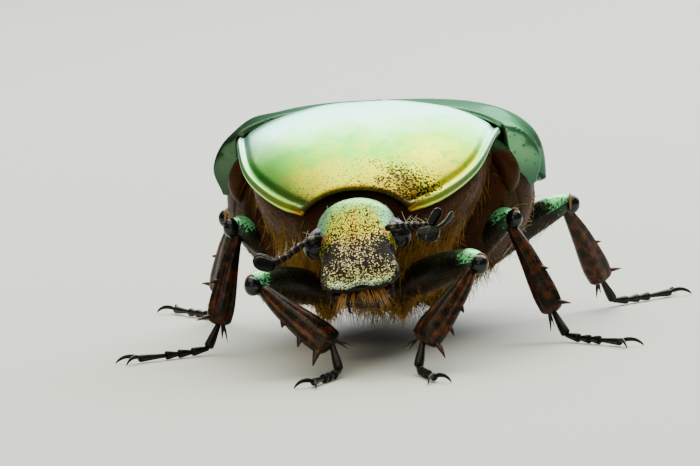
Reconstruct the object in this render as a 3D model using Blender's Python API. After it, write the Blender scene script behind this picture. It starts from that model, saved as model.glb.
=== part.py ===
"""A rose chafer, Cetonia aurata, life size, standing on level ground with its head low.

The animal faces -Y and stands on z = 0. Sizes are millimetres up to the last step, which
turns every mesh into metres and sets the origin under the middle of the whole animal.
Left and right are the animal's own: its left side is +X.
"""

import math

import bmesh
import bpy
import numpy as np
from mathutils import Matrix, Vector

MM = 0.001
GAP = 0.3
SHELL = 0.5

# Pronotum: the shield over the forebody.
COLLAR = (2.85, 5.56)
FRONT_CORNER = (1.75, 2.65, 4.79)
HIND_CORNER = (4.26, 7.05, 6.70)
BASE_MIDDLE = (7.72, 7.76)
BEAD_WIDTH = 0.30
BEAD_HEIGHT = 0.10

# Elytra: the two wing cases, with the scutellum between their bases.
ELYTRA_FRONT = 7.92
ELYTRA_END = 17.3
ELYTRA_TOP = 7.70
ELYTRA_CREST = 8.8
ELYTRA_FALL = 3.25
HALF_WIDTH = 5.42
MARGIN_HEIGHT = 4.85
SCUTELLUM_END = 10.45
SUTURE = GAP / 2

# Head: face line from the clypeus edge up to the crown.
FACE_TILT = math.radians(51.0)
FACE_LENGTH = 2.97
CLYPEUS_EDGE = (-0.06, 2.86)
HEAD_BACK = 2.55
HEAD_ROLL = math.radians(-5.5)
HEAD_YAW = math.radians(4.3)
HEAD_PIVOT = (0.0, 2.4, 4.77)
HEAD_SHIFT = 0.0
EYE_RADIUS = 0.42
EYE_PLACE = (1.28, 1.78, 4.02)
SOCKET_ROOM = 0.18

# Legs: hip, knee and ankle, the way the foot points on the ground, and its length.
LEGS = {
    "front_left": ((1.15, 3.90, 2.25), (3.88, 1.25, 3.30), (2.20, 0.30, 0.98), (0.35, -0.94), 2.8),
    "front_right": ((-1.20, 3.90, 2.20), (-3.08, 1.20, 2.88), (-0.66, 0.20, 0.98), (-0.28, -0.96), 2.8),
    "middle_left": ((1.75, 8.70, 1.55), (4.25, 7.35, 4.00), (5.65, 6.90, 0.98), (0.74, -0.67), 3.3),
    "middle_right": ((-1.75, 8.70, 1.55), (-4.40, 7.45, 4.05), (-5.15, 6.80, 0.98), (-0.80, -0.60), 3.3),
    "hind_left": ((1.75, 11.90, 1.55), (5.55, 12.90, 3.80), (6.55, 15.00, 0.98), (0.62, 0.78), 3.6),
    "hind_right": ((-1.75, 11.90, 1.55), (-5.35, 12.95, 3.75), (-6.30, 15.10, 0.98), (-0.60, 0.80), 3.6),
}
KNEE_RADIUS = 0.40
FOOT_HEIGHT = 0.22
FOOT_RADIUS = 0.27
TARSOMERES = 5

# For each pair of legs: the hip's half sizes, the shin's teeth along it and its breadth.
PAIRS = {
    "front": ((0.56, 0.62, 0.72), (0.45, 0.70, 0.94), 1.0),
    "middle": ((0.62, 0.50, 0.55), (0.55, 0.95), 0.82),
    "hind": ((0.75, 0.50, 0.50), (0.55, 0.95), 0.84),
}

# Colour, roughness and metallic value of each kind of surface.
FINISHES = {
    "shield": ((0.30, 0.55, 0.16), 0.28, 0.85),
    "wing_case": ((0.10, 0.42, 0.22), 0.25, 0.85),
    "face": ((0.22, 0.32, 0.10), 0.38, 0.75),
    "eye": ((0.010, 0.010, 0.012), 0.12, 0.0),
    "antenna": ((0.018, 0.015, 0.014), 0.40, 0.0),
    "mouth": ((0.30, 0.14, 0.05), 0.55, 0.0),
    "underside": ((0.12, 0.05, 0.03), 0.42, 0.5),
    "leg": ((0.035, 0.030, 0.022), 0.32, 0.4),
}


def clear_scene():
    """Remove every object that the file starts with."""
    for item in list(bpy.data.objects):
        bpy.data.objects.remove(item)


def finish_material(kind):
    """One Principled material for each kind of surface."""
    found = bpy.data.materials.get(kind)
    if found:
        return found
    colour, roughness, metallic = FINISHES[kind]
    material = bpy.data.materials.new(kind)
    material.use_nodes = True
    shader = material.node_tree.nodes["Principled BSDF"]
    shader.inputs["Base Color"].default_value = (*colour, 1.0)
    shader.inputs["Roughness"].default_value = roughness
    shader.inputs["Metallic"].default_value = metallic
    return material


def smoothstep(t):
    """0 below 0, 1 above 1 and an S-shaped rise between."""
    t = np.clip(t, 0.0, 1.0)
    return t * t * (3.0 - 2.0 * t)


def bell(t, centre, width):
    """A smooth hump of height 1 at centre."""
    return np.exp(-(((t - centre) / width) ** 2))


def unit(vector):
    """The vector at length 1."""
    vector = np.asarray(vector, float)
    return vector / np.linalg.norm(vector)


def mesh_object(name, bm, kind):
    """Put a bmesh into the scene as one named object with its material."""
    bmesh.ops.recalc_face_normals(bm, faces=bm.faces)
    mesh = bpy.data.meshes.new(name)
    bm.to_mesh(mesh)
    bm.free()
    mesh.materials.append(finish_material(kind))
    item = bpy.data.objects.new(name, mesh)
    bpy.context.scene.collection.objects.link(item)
    return item


def closed_tube(name, rings, start, end, kind):
    """Join rings of equal count with quads and close both ends with a fan to a point."""
    bm = bmesh.new()
    loops = [[bm.verts.new(p) for p in ring] for ring in rings]
    count = len(loops[0])
    for low, high in zip(loops, loops[1:]):
        for i in range(count):
            j = (i + 1) % count
            bm.faces.new((low[i], low[j], high[j], high[i]))
    for loop, place in ((loops[0], start), (loops[-1], end)):
        pole = bm.verts.new(place)
        for i in range(count):
            bm.faces.new((loop[i], loop[(i + 1) % count], pole))
    return mesh_object(name, bm, kind)


def limb(name, path, wide, thick, across, kind, sides=8, round_ends=(0.0, 0.0), floor=None):
    """A tube along a path: half sizes wide along the across direction and thick square to it."""
    path = np.asarray(path, float)
    across = np.asarray(across, float)
    angles = (np.arange(sides) + 0.5) * math.tau / sides
    tangents = np.gradient(path, axis=0)
    rings = []
    for place, tangent, a, b in zip(path, tangents, wide, thick):
        tangent = unit(tangent)
        side = unit(across - tangent * (across @ tangent))
        other = np.cross(tangent, side)
        ring = place + np.outer(np.sin(angles) * a, side) + np.outer(np.cos(angles) * b, other)
        if floor is not None:
            ring[:, 2] = np.maximum(ring[:, 2], floor)
        rings.append(ring)
    start = path[0] - unit(tangents[0]) * round_ends[0]
    end = path[-1] + unit(tangents[-1]) * round_ends[1]
    if floor is not None:
        start[2] = max(start[2], floor)
        end[2] = max(end[2], floor)
    return closed_tube(name, rings, start, end, kind)


def ball(name, centre, radii, kind, across=12, up=8):
    """An ellipsoid with its poles along Z."""
    bm = bmesh.new()
    bmesh.ops.create_uvsphere(bm, u_segments=across, v_segments=up, radius=1.0)
    bmesh.ops.scale(bm, verts=bm.verts, vec=radii)
    bmesh.ops.translate(bm, verts=bm.verts, vec=centre)
    return mesh_object(name, bm, kind)


def plate(name, surface, thickness, kind):
    """A hard plate: the outer surface grid, the same grid sunk along its normals, and a border."""
    down_rows = np.gradient(surface, axis=0)
    down_columns = np.gradient(surface, axis=1)
    normals = np.cross(down_columns, down_rows)
    normals /= np.linalg.norm(normals, axis=2, keepdims=True)
    inner = surface - normals * thickness
    rows, columns = surface.shape[:2]
    bm = bmesh.new()
    skins = [[[bm.verts.new(p) for p in row] for row in grid] for grid in (surface, inner)]
    for skin in skins:
        for i in range(rows - 1):
            for j in range(columns - 1):
                a, b, c, d = skin[i][j], skin[i][j + 1], skin[i + 1][j + 1], skin[i + 1][j]
                bm.faces.new((a, b, c))
                bm.faces.new((a, c, d))
    border = [(0, j) for j in range(columns)]
    border += [(i, columns - 1) for i in range(1, rows)]
    border += [(rows - 1, j) for j in range(columns - 2, -1, -1)]
    border += [(i, 0) for i in range(rows - 2, 0, -1)]
    outside, inside = skins
    for (i, j), (k, m) in zip(border, border[1:] + border[:1]):
        bm.faces.new((outside[i][j], outside[k][m], inside[k][m], inside[i][j]))
    return mesh_object(name, bm, kind)


def combine(target, others, operation):
    """Join or cut target with other closed meshes by one Boolean, and drop those meshes."""
    group = bpy.data.collections.new(target.name + "_pieces")
    for item in others:
        group.objects.link(item)
    change = target.modifiers.new(operation.lower(), "BOOLEAN")
    change.operation = operation
    change.operand_type = "COLLECTION"
    change.collection = group
    change.solver = "MANIFOLD"
    graph = bpy.context.evaluated_depsgraph_get()
    made = bpy.data.meshes.new_from_object(target.evaluated_get(graph))
    target.modifiers.clear()
    target.data = made
    for item in others:
        bpy.data.objects.remove(item)
    bpy.data.collections.remove(group)
    keep_largest(target)
    return target


def keep_largest(item):
    """Keep only the largest closed surface of an object."""
    bm = bmesh.new()
    bm.from_mesh(item.data)
    bmesh.ops.triangulate(bm, faces=bm.faces)
    left = set(bm.verts)
    groups = []
    while left:
        stack = [left.pop()]
        group = set(stack)
        while stack:
            for edge in stack.pop().link_edges:
                for vertex in edge.verts:
                    if vertex in left:
                        left.remove(vertex)
                        group.add(vertex)
                        stack.append(vertex)
        groups.append(group)
    groups.sort(key=len)
    for group in groups[:-1]:
        bmesh.ops.delete(bm, geom=list(group), context="VERTS")
    bm.to_mesh(item.data)
    bm.free()


def pronotum_surface(u, v):
    """The shield: u runs from right rim to left rim, v from collar to base.

    Its half width opens fast behind the front corners. The rim climbs in an S from front to
    hind corner, the middle line climbs in an arc, and a flattened arch joins them, with a
    raised bead along both rims and a base that bows back.
    """
    side = np.abs(u)
    half = FRONT_CORNER[0] + (HIND_CORNER[0] - FRONT_CORNER[0]) * (1 - (1 - v) ** 2.2)
    front = COLLAR[0] + (FRONT_CORNER[1] - COLLAR[0]) * side**2
    base = HIND_CORNER[1] + (BASE_MIDDLE[0] - HIND_CORNER[1]) * (1 - side**2.2)
    base = base - 0.10 * bell(u, 0.0, 0.22)
    rim = FRONT_CORNER[2] + (HIND_CORNER[2] - FRONT_CORNER[2]) * smoothstep(v / 0.9)
    middle = COLLAR[1] + (BASE_MIDDLE[1] - COLLAR[1]) * (1 - (1 - v) ** 1.8)
    arch = np.clip(1 - side**2.3, 0.0, 1.0) ** 0.75
    from_rim = (1 - side) * half
    bead = BEAD_HEIGHT * bell(from_rim, 0.12, BEAD_WIDTH / 2)
    x = u * half
    y = front * (1 - v) + base * v
    z = rim + (middle - rim) * arch + bead
    return np.stack([x, y, z], axis=-1)


def make_pronotum():
    """The shield, a plate that arches over the forebody."""
    across = np.sin(np.linspace(-1, 1, 19) * math.pi / 2)
    along = np.linspace(0, 1, 11)
    v, u = np.meshgrid(along, across, indexing="ij")
    return plate("pronotum", pronotum_surface(u, v), SHELL, "shield")


def elytra_crest(y):
    """Height of the wing cases' middle line: level at the front, falling to the tail."""
    back = np.clip((y - ELYTRA_CREST) / (ELYTRA_END - ELYTRA_CREST), 0, 1.2)
    return ELYTRA_TOP - ELYTRA_FALL * back**2.5


def scutellum_clearance(y):
    """Where an elytron's inner edge runs: along the scutellum, then along the suture."""
    return SUTURE + 1.42 * np.clip((SCUTELLUM_END - y) / 2.5, 0, 1)


def elytron_surface(u, v):
    """The left wing case: u runs from suture to side margin, v from base to tip.

    In section it is a flat top with a strongly rounded side, a cubic superellipse. The side
    margin is drawn in behind the shoulder and the end is rounded, with a knob on the shoulder
    and one before the tip.
    """
    half = HALF_WIDTH * (1 - 0.36 * v**3.0)
    half = half - 0.22 * bell(v, 0.24, 0.11) - 0.17 * bell(v, 0.0, 0.05)
    base = ELYTRA_FRONT - 0.22 * np.sin(math.pi * u) + 0.60 * u**5
    end = ELYTRA_END - 2.9 * u**2.0
    y = base * (1 - v) + end * v
    inner = scutellum_clearance(ELYTRA_FRONT * (1 - v) + ELYTRA_END * v)
    begin = np.arcsin((inner / half) ** 1.5)
    turn = begin + (math.pi / 2 - begin) * u**0.8
    x = half * np.sin(turn) ** (2 / 3)
    margin = MARGIN_HEIGHT + 0.30 * bell(v, 0.27, 0.14) - 0.55 * v**2
    rise = np.clip(np.cos(turn), 0, 1) ** (2 / 3)
    z = margin + (elytra_crest(y) - margin) * rise
    z = z + 0.14 * bell(np.hypot(x - 4.1, y - 9.0), 0, 0.7)
    z = z + 0.16 * bell(np.hypot(x - 2.9, y - 15.4), 0, 0.7)
    return np.stack([x, y, z], axis=-1)


def make_elytra():
    """Both wing cases, one the mirror of the other."""
    v, u = np.meshgrid(np.linspace(0, 1, 15), np.linspace(0, 1, 12), indexing="ij")
    surface = elytron_surface(u, v)
    left = plate("elytron_left", surface, SHELL, "wing_case")
    mirrored = surface[:, ::-1] * np.array([-1.0, 1.0, 1.0])
    right = plate("elytron_right", mirrored, SHELL, "wing_case")
    return [left, right]


def make_scutellum():
    """The long triangle between the bases of the wing cases."""
    along = np.linspace(ELYTRA_FRONT + 0.05, SCUTELLUM_END - 0.5, 6)
    y, u = np.meshgrid(along, np.linspace(-1, 1, 7), indexing="ij")
    half = scutellum_clearance(y) - GAP
    surface = np.stack([u * half, y, elytra_crest(y) - 0.03 * u**2], axis=-1)
    return plate("scutellum", surface, SHELL, "wing_case")


def head_section(l):
    """Top line, bottom line and half width of the head at distance l from the clypeus edge.

    The top line is the face, straight up to the crown and then bending over; the bottom line
    is the clypeus's underside and the throat. The outline is the clypeus with its round
    corners, the waist before the eyes and the crown.
    """
    straight = np.minimum(l, FACE_LENGTH)
    bend = np.clip(l - FACE_LENGTH, 0, None)
    turned = FACE_TILT * (1 - np.clip(bend, 0, 1) * 1.25)
    top_y = CLYPEUS_EDGE[0] + straight * math.cos(FACE_TILT) + bend * np.cos(turned)
    top_z = CLYPEUS_EDGE[1] + straight * math.sin(FACE_TILT) + bend * np.sin(turned)
    share = l / HEAD_LENGTH
    bottom_y = 0.14 + (HEAD_BACK - 0.14) * (1 - (1 - share) ** 1.35)
    bottom_z = CLYPEUS_EDGE[1] - 0.30 + 0.45 * share**1.8
    half = 1.24 - 0.33 * np.clip(1 - l / 0.62, 0, 1) ** 2.2
    half = half - 0.13 * bell(l, 1.50, 0.42) + 0.02 * smoothstep((l - 1.9) / 0.6)
    return top_y, top_z, bottom_y, bottom_z, half


def head_length():
    """Distance along the face line at which it reaches the back of the head."""
    trial = np.linspace(FACE_LENGTH, FACE_LENGTH + 1, 200)
    bend = trial - FACE_LENGTH
    turned = FACE_TILT * (1 - np.clip(bend, 0, 1) * 1.25)
    reach = CLYPEUS_EDGE[0] + FACE_LENGTH * math.cos(FACE_TILT) + bend * np.cos(turned)
    return float(np.interp(HEAD_BACK, reach, trial))


HEAD_LENGTH = head_length()


def head_surface(turn, l):
    """Rings round the head: a flat superellipse on the clypeus, round at the crown.

    Over the crown the widest place moves up to the eyes and the cheeks below draw in.
    """
    top_y, top_z, bottom_y, bottom_z, half = head_section(l)
    up, out = np.sin(turn), np.cos(turn)
    crown = smoothstep((l - 1.3) / 1.0)
    power = np.where(up > 0, 0.58 + 0.32 * crown, 0.90 + 0.35 * crown)
    x = half * np.sign(out) * np.abs(out) ** power
    wide_at = 0.5 + 0.13 * crown
    height = wide_at + np.where(up > 0, 1 - wide_at, wide_at) * np.sign(up) * np.abs(up) ** power
    y = bottom_y + (top_y - bottom_y) * height
    z = bottom_z + (top_z - bottom_z) * height
    return np.stack([x, y, z], axis=-1)


def turn_head(points):
    """Roll and turn the head about the neck, as the animal holds it."""
    pivot = Vector(HEAD_PIVOT)
    turned = Matrix.Rotation(HEAD_YAW, 3, "Z") @ Matrix.Rotation(HEAD_ROLL, 3, "Y")
    matrix = np.array(turned)
    shifted = np.array(pivot) + np.array([HEAD_SHIFT, 0.0, 0.0])
    return (np.asarray(points) - np.array(pivot)) @ matrix.T + shifted


def make_head():
    """Head with clypeus, cut by sockets for the eyes and the antennae."""
    stations = [0, 0.12, 0.35, 0.65, 1.0, 1.4, 1.8, 2.2, 2.6, 2.97, 3.3, HEAD_LENGTH]
    turns = (np.arange(22) + 0.5) * math.tau / 22
    rings = [turn_head(head_surface(turns, np.full(22, l))) for l in stations]
    start = rings[0].mean(axis=0)
    end = rings[-1].mean(axis=0)
    head = closed_tube("head", rings, start, end, "face")
    cutters = []
    for side in (-1, 1):
        place = EYE_PLACE * np.array([side, 1, 1])
        place = turn_head(place)
        size = [EYE_RADIUS + SOCKET_ROOM] * 3
        cutters.append(ball("eye_socket", place, size, "face"))
    return combine(head, cutters, "DIFFERENCE")


def make_eyes():
    """Two round black eyes under the ledges of the head."""
    made = []
    for name, side in (("eye_left", 1), ("eye_right", -1)):
        place = turn_head(EYE_PLACE * np.array([side, 1, 1]))
        made.append(ball(name, place, [EYE_RADIUS] * 3, "eye", 14, 10))
    return made


def antenna_stem(name, points):
    """Scape and funicle: a thick first joint, then short beads."""
    points = np.asarray(points, float)
    steps = np.linspace(0, 1, 12)
    reach = np.linspace(0, 1, len(points))
    path = np.stack([np.interp(steps, reach, points[:, k]) for k in range(3)], axis=-1)
    beads = 0.245 + 0.02 * np.cos(np.arange(12) * math.pi)
    return limb(name, path, beads, beads, (0, 0, 1), "antenna", 8, (0.08, 0.08))


def lamella(name, root, tip, broad, flat, across):
    """One leaf of the club: narrow at its root, broad past the middle, with a blunt tip."""
    steps = np.array([0, 0.2, 0.5, 0.8, 0.95])
    path = np.outer(1 - steps, root) + np.outer(steps, tip)
    wide = broad * np.array([0.75, 0.95, 1.0, 0.9, 0.55])
    thick = flat * np.array([0.9, 1.0, 1.0, 0.9, 0.6])
    return limb(name, path, wide, thick, across, "antenna", 8, (0.05, 0.1))


def make_antennae():
    """Left antenna with its three leaves fanned, right antenna with its club closed."""
    left_stem = ((1.76, 1.00, 4.46), (2.10, 0.94, 4.54), (2.57, 0.90, 4.56))
    left = antenna_stem("antenna_left", left_stem)
    club = np.array([2.57, 0.90, 4.54])
    tips = ((2.84, 0.66, 5.12), (3.28, 0.58, 4.96), (2.62, 0.20, 3.95))
    leaves = [lamella("leaf", club, tip, 0.26, 0.25, (0, 1, 0)) for tip in tips]
    combine(left, leaves, "UNION")
    right_stem = ((-1.52, 0.98, 4.26), (-1.85, 0.80, 3.95), (-2.45, 0.70, 3.56))
    right = antenna_stem("antenna_right", right_stem)
    leaf = lamella("leaf", (-2.40, 0.72, 3.58), (-3.00, -0.05, 3.68), 0.32, 0.28, (0, 0, 1))
    combine(right, [leaf], "UNION")
    return [left, right]


def make_mouthparts():
    """Lower lip and jaws under the clypeus, with a palp on each side."""
    lip = ball("mouthparts", turn_head((0, 1.15, 2.00)), (0.72, 0.85, 0.27), "mouth", 14, 8)
    palps = []
    for side in (-1, 1):
        points = np.array([[0.55, 0.95, 2.04], [0.82, 0.60, 2.12], [0.93, 0.32, 2.12], [0.91, 0.16, 2.00]])
        points = turn_head(points * np.array([side, 1, 1]))
        size = np.array([0.24, 0.22, 0.22, 0.15])
        palps.append(limb("palp", points, size, size, (0, 0, 1), "mouth", 6, (0, 0.12)))
    return combine(lip, palps, "UNION")


def body_ring(y, half, top, middle, bottom, top_power, bottom_power, count):
    """One section of the trunk: a flat-topped upper half and a rounder lower half."""
    turns = (np.arange(count) + 0.5) * math.tau / count
    up, out = np.sin(turns), np.cos(turns)
    power = np.where(up > 0, 2 / top_power, 2 / bottom_power)
    x = half * np.sign(out) * np.abs(out) ** power
    lift = np.where(up > 0, (top - middle), (middle - bottom))
    z = middle + lift * np.sign(up) * np.abs(up) ** power
    return np.stack([x, np.full(count, y), z], axis=-1)


def trunk(name, stations, powers, kind, count=22):
    """A length of the trunk from sections (y, half width, top, middle, bottom)."""
    rings = [body_ring(*station, *powers, count) for station in stations]
    return closed_tube(name, rings, rings[0].mean(axis=0), rings[-1].mean(axis=0), kind)


def make_prothorax():
    """The forebody under the shield."""
    stations = []
    for y in (3.15, 3.5, 4.0, 4.7, 5.5, 6.2, 6.8):
        v = (y - COLLAR[0]) / (BASE_MIDDLE[0] - COLLAR[0])
        edge = pronotum_surface(np.array(1.0), np.array(v))
        crown = pronotum_surface(np.array(0.0), np.array(v))
        middle = edge[2] - 0.55
        narrow = 0.55 + 0.35 * bell(y, 6.8, 0.8)
        bottom = 2.55 - 0.45 * smoothstep((y - 3.2) / 2.0) + 0.35 * bell(y, 3.1, 0.5)
        stations.append((y, edge[0] - narrow, crown[2] - SHELL - GAP - 0.12, middle, bottom))
    return trunk("prothorax", stations, (1.9, 1.7), "underside")


def trunk_section(y):
    """Section of the trunk behind the shield, fitted inside the wing cases."""
    v = np.clip((y - 8.5) / 6.5, 0, 1)
    half = HALF_WIDTH * (1 - 0.36 * v**3.0) - 0.22 * bell(v, 0.24, 0.11) - SHELL - GAP - 0.12
    half = half - 1.0 * np.clip((8.9 - y) / 1.7, 0, 1) ** 1.5
    half = half - 0.9 * smoothstep((y - 14.2) / 2.4) ** 1.4
    top = elytra_crest(y) - SHELL - GAP - 0.12 - 0.9 * smoothstep((y - 14.6) / 1.8)
    middle = MARGIN_HEIGHT - 0.35 - 0.55 * v**2
    bottom = 1.05 + 0.75 * np.clip((8.6 - y) / 1.4, 0, 1) ** 1.6
    bottom = bottom + 1.35 * np.clip((y - 12.5) / 3.7, 0, 1) ** 2.4
    return y, half, top, middle, bottom


def make_thorax():
    """Middle and hind thorax, with the round knob between the middle legs."""
    stations = [trunk_section(y) for y in (7.25, 7.6, 8.1, 8.8, 9.6, 10.4, 11.2)]
    body = trunk("thorax", stations, (3.0, 1.8), "underside", 24)
    knob = ball("knob", (0, 7.45, 1.75), (0.55, 0.62, 0.50), "underside", 12, 8)
    return combine(body, [knob], "UNION")


def make_abdomen():
    """The ringed hind body: each ring steps in where the next one starts."""
    edges = np.array([11.5, 12.35, 13.2, 14.0, 14.7, 15.3, 15.8])
    stations = []
    for start, end in zip(edges, edges[1:]):
        for y, step in ((start, 0.07), (end - 0.12, 0.0)):
            y, half, top, middle, bottom = trunk_section(y)
            stations.append((y, half - step, top - step, middle, bottom + step))
    return trunk("abdomen", stations, (3.0, 1.9), "underside")


def make_pygidium():
    """The convex tail plate below the ends of the wing cases."""
    v, u = np.meshgrid(np.linspace(0, 1, 8), np.linspace(-1, 1, 11), indexing="ij")
    half = 2.95 * (1 - 0.72 * v**2.2)
    y = 16.65 + 0.62 * np.sin(math.pi * (0.2 + 0.7 * v)) - 0.45 * v - 0.9 * u**2 * (1 - 0.3 * v)
    surface = np.stack([u * half, y, 3.72 - 1.85 * v - 0.15 * u**2 * (1 - v)], axis=-1)
    return plate("pygidium", surface, SHELL, "wing_case")


def femur_shape(name, place, grow):
    """Hip and thigh: a round hip, a flattened thigh that swells and a round knee."""
    hip, knee = np.array(LEGS[place][0]), np.array(LEGS[place][1])
    steps = np.array([0, 0.14, 0.3, 0.5, 0.7, 0.86, 1.0])
    path = np.outer(1 - steps, hip) + np.outer(steps, knee)
    wide = np.array([0.42, 0.38, 0.52, 0.58, 0.52, 0.44, 0.36]) + grow
    thick = np.array([0.38, 0.34, 0.40, 0.44, 0.40, 0.38, 0.34]) + grow
    thigh = limb(name, path, wide, thick, (0, 0, 1), "leg", 10, (0.25 + grow, 0.2 + grow))
    hip_size = np.array(PAIRS[place.split("_")[0]][0]) + grow
    hip_ball = ball("hip", hip, hip_size, "leg", 10, 8)
    return combine(thigh, [hip_ball], "UNION")


def spike(name, root, direction, length, radius):
    """A tapered tooth or spur."""
    direction = unit(direction)
    path = [root, root + direction * length * 0.6, root + direction * length * 0.92]
    size = np.array([1.0, 0.62, 0.25]) * radius
    across = (0, 0, 1) if abs(direction[2]) < 0.9 else (1, 0, 0)
    return limb(name, path, size, size, across, "leg", 6, (0.02, length * 0.08))


def make_tibia(name, place):
    """Shin: narrow at the knee, broad at the end, toothed along its outer edge, with spurs.

    The outer edge of a front shin faces out to the side; the others carry on the thigh's way.
    """
    hip, knee, ankle = (np.array(LEGS[place][k]) for k in range(3))
    pair = place.split("_")[0]
    teeth, breadth = PAIRS[pair][1:]
    down = unit(ankle - knee)
    outward = np.array([math.copysign(1.0, knee[0]), -0.25, 0.0]) if pair == "front" else knee - hip
    outward = unit(outward - down * (outward @ down))
    start = knee + down * (KNEE_RADIUS + GAP)
    steps = np.array([0, 0.15, 0.4, 0.65, 0.85, 1.0])
    path = np.outer(1 - steps, start) + np.outer(steps, ankle)
    wide = np.array([0.30, 0.36, 0.44, 0.51, 0.56, 0.52]) * breadth
    thick = np.array([0.26, 0.27, 0.28, 0.29, 0.29, 0.27])
    shin = limb(name, path, wide, thick, outward, "leg", 8, (0.05, 0.04))
    spikes = []
    for share in teeth:
        root = start + (ankle - start) * share + outward * 0.34 * breadth
        spikes.append(spike("tooth", root, outward + down * 0.55, 0.50, 0.22))
    spur = ankle - outward * 0.22 - down * 0.15
    spikes.append(spike("spur", spur, down - outward * 0.5, 0.62, 0.17))
    return combine(shin, spikes, "UNION")


def make_tarsus(name, leg):
    """Foot: five joints flat on the ground and two claws."""
    knee, ankle = np.array(leg[1]), np.array(leg[2])
    down = unit(ankle - knee)
    way = unit((*leg[3], 0.0))
    length = leg[4]
    begin = ankle + down * (GAP + 0.16)
    flat_start = np.array([begin[0], begin[1], FOOT_HEIGHT]) + way * 0.30
    end = flat_start + way * (length - 0.75)
    path, size = [begin], [0.20]
    for joint in range(TARSOMERES):
        for part, radius in ((0.0, 0.19), (0.62, 0.25), (0.94, FOOT_RADIUS)):
            share = (joint + part) / TARSOMERES
            path.append(flat_start + (end - flat_start) * share)
            size.append(radius)
    path, size = np.array(path), np.array(size)
    across = np.cross(way, (0, 0, 1))
    foot = limb(name, path, size, size, across, "leg", 8, (0.04, 0.06), floor=0.0)
    claws = []
    for side in (-1, 1):
        spread = across * side
        points = [end - way * 0.15 + spread * 0.10, end + way * 0.22 + spread * 0.24]
        points += [end + way * 0.50 + spread * 0.36, end + way * 0.66 + spread * 0.42]
        points = np.array(points) + np.array([0, 0, 0.05]) * np.array([[0], [1], [0.4], [-1.2]])
        bulk = np.array([0.14, 0.13, 0.10, 0.05])
        claws.append(limb("claw", points, bulk, bulk, (0, 0, 1), "leg", 6, (0.02, 0.04), floor=0.0))
    return combine(foot, claws, "UNION")


def make_legs():
    """Six legs of thigh, shin and foot."""
    made = []
    for place, leg in LEGS.items():
        made.append(femur_shape("femur_" + place, place, 0.0))
        made.append(make_tibia("tibia_" + place, place))
        made.append(make_tarsus("tarsus_" + place, leg))
    return made


def carve_for_legs(body, names):
    """Cut room for the thighs, a gap wider than they are, where they lie against the trunk."""
    cutters = [femur_shape("room", name, GAP) for name in names]
    return combine(body, cutters, "DIFFERENCE")


def place_on_origin(items):
    """Turn millimetres to metres, with the origin under the middle of the whole animal."""
    low = Vector((1e9, 1e9, 1e9))
    high = -low
    for item in items:
        for vertex in item.data.vertices:
            low = Vector(map(min, low, vertex.co))
            high = Vector(map(max, high, vertex.co))
    middle = Vector(((low.x + high.x) / 2, (low.y + high.y) / 2, low.z))
    holder = bpy.data.objects.new("rose_chafer", None)
    bpy.context.scene.collection.objects.link(holder)
    for item in items:
        item.data.transform(Matrix.Scale(MM, 4) @ Matrix.Translation(-middle))
        centre = sum((vertex.co for vertex in item.data.vertices), Vector()) / len(item.data.vertices)
        item.data.transform(Matrix.Translation(-centre))
        item.location = centre
        item.parent = holder
        item.data.shade_smooth()
        item.data.set_sharp_from_angle(angle=math.radians(40))


def main():
    """Model the whole animal."""
    clear_scene()
    parts = [make_head(), *make_eyes(), *make_antennae(), make_mouthparts()]
    parts += [make_pronotum(), make_scutellum(), *make_elytra(), make_pygidium()]
    prothorax, thorax, abdomen = make_prothorax(), make_thorax(), make_abdomen()
    carve_for_legs(prothorax, ("front_left", "front_right"))
    carve_for_legs(thorax, ("middle_left", "middle_right", "hind_left", "hind_right"))
    carve_for_legs(abdomen, ("hind_left", "hind_right"))
    parts += [prothorax, thorax, abdomen, *make_legs()]
    place_on_origin(parts)


main()
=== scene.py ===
"""A rose chafer, life size: its fine surfaces, metallic colours, pits and hairs.

Shapes are worked out in millimetres, with y = 0 at the clypeus edge, the tail towards +Y, the
animal's left towards +X and the ground at z = 0. Almost every shape is a function of two
parameters, u across or round it and v along it, which takes and gives whole arrays.
"""

import math

import bpy
import numpy as np
from mathutils import Matrix, Vector


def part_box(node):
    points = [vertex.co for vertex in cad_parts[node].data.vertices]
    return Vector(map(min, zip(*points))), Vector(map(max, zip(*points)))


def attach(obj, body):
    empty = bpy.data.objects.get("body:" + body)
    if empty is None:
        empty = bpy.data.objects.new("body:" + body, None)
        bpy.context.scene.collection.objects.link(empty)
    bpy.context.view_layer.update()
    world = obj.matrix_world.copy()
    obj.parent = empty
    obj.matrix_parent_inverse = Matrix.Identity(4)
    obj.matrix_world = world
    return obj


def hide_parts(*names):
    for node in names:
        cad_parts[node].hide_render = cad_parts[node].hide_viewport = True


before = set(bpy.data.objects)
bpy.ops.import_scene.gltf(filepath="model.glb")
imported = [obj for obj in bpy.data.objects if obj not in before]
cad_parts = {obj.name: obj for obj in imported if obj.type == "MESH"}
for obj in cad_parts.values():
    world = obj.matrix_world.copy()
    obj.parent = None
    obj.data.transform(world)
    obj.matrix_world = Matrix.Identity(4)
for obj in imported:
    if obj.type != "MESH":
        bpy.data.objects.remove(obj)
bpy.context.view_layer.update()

MM = 0.001
TAU = math.tau

# Shield over the forebody: y and z of the collar's and the base's middle, and its corners.
COLLAR = (2.85, 5.56)
BASE_MIDDLE = (7.72, 7.76)
FRONT_CORNER = (1.75, 2.65, 4.79)
HIND_CORNER = (4.26, 7.05, 6.70)
RIM_BULGE = 0.15
BASE_LIFT = 0.13
BEAD_HEIGHT = 0.09
FURROW_DEPTH = 0.06
SHELL = 0.26

# Wing cases and the small shield between their bases.
ELYTRA_FRONT = 7.84
ELYTRA_END = 17.3
ELYTRA_TOP = 7.72
ELYTRA_CREST = 8.8
ELYTRA_FALL = 3.25
HALF_WIDTH = 5.42
NARROWING = 0.36
MARGIN_HEIGHT = 4.85
SCUTELLUM_END = 10.45
SUTURE = 0.02
KNOBS = ((4.1, 9.0, 0.14), (2.9, 15.4, 0.16))

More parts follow.
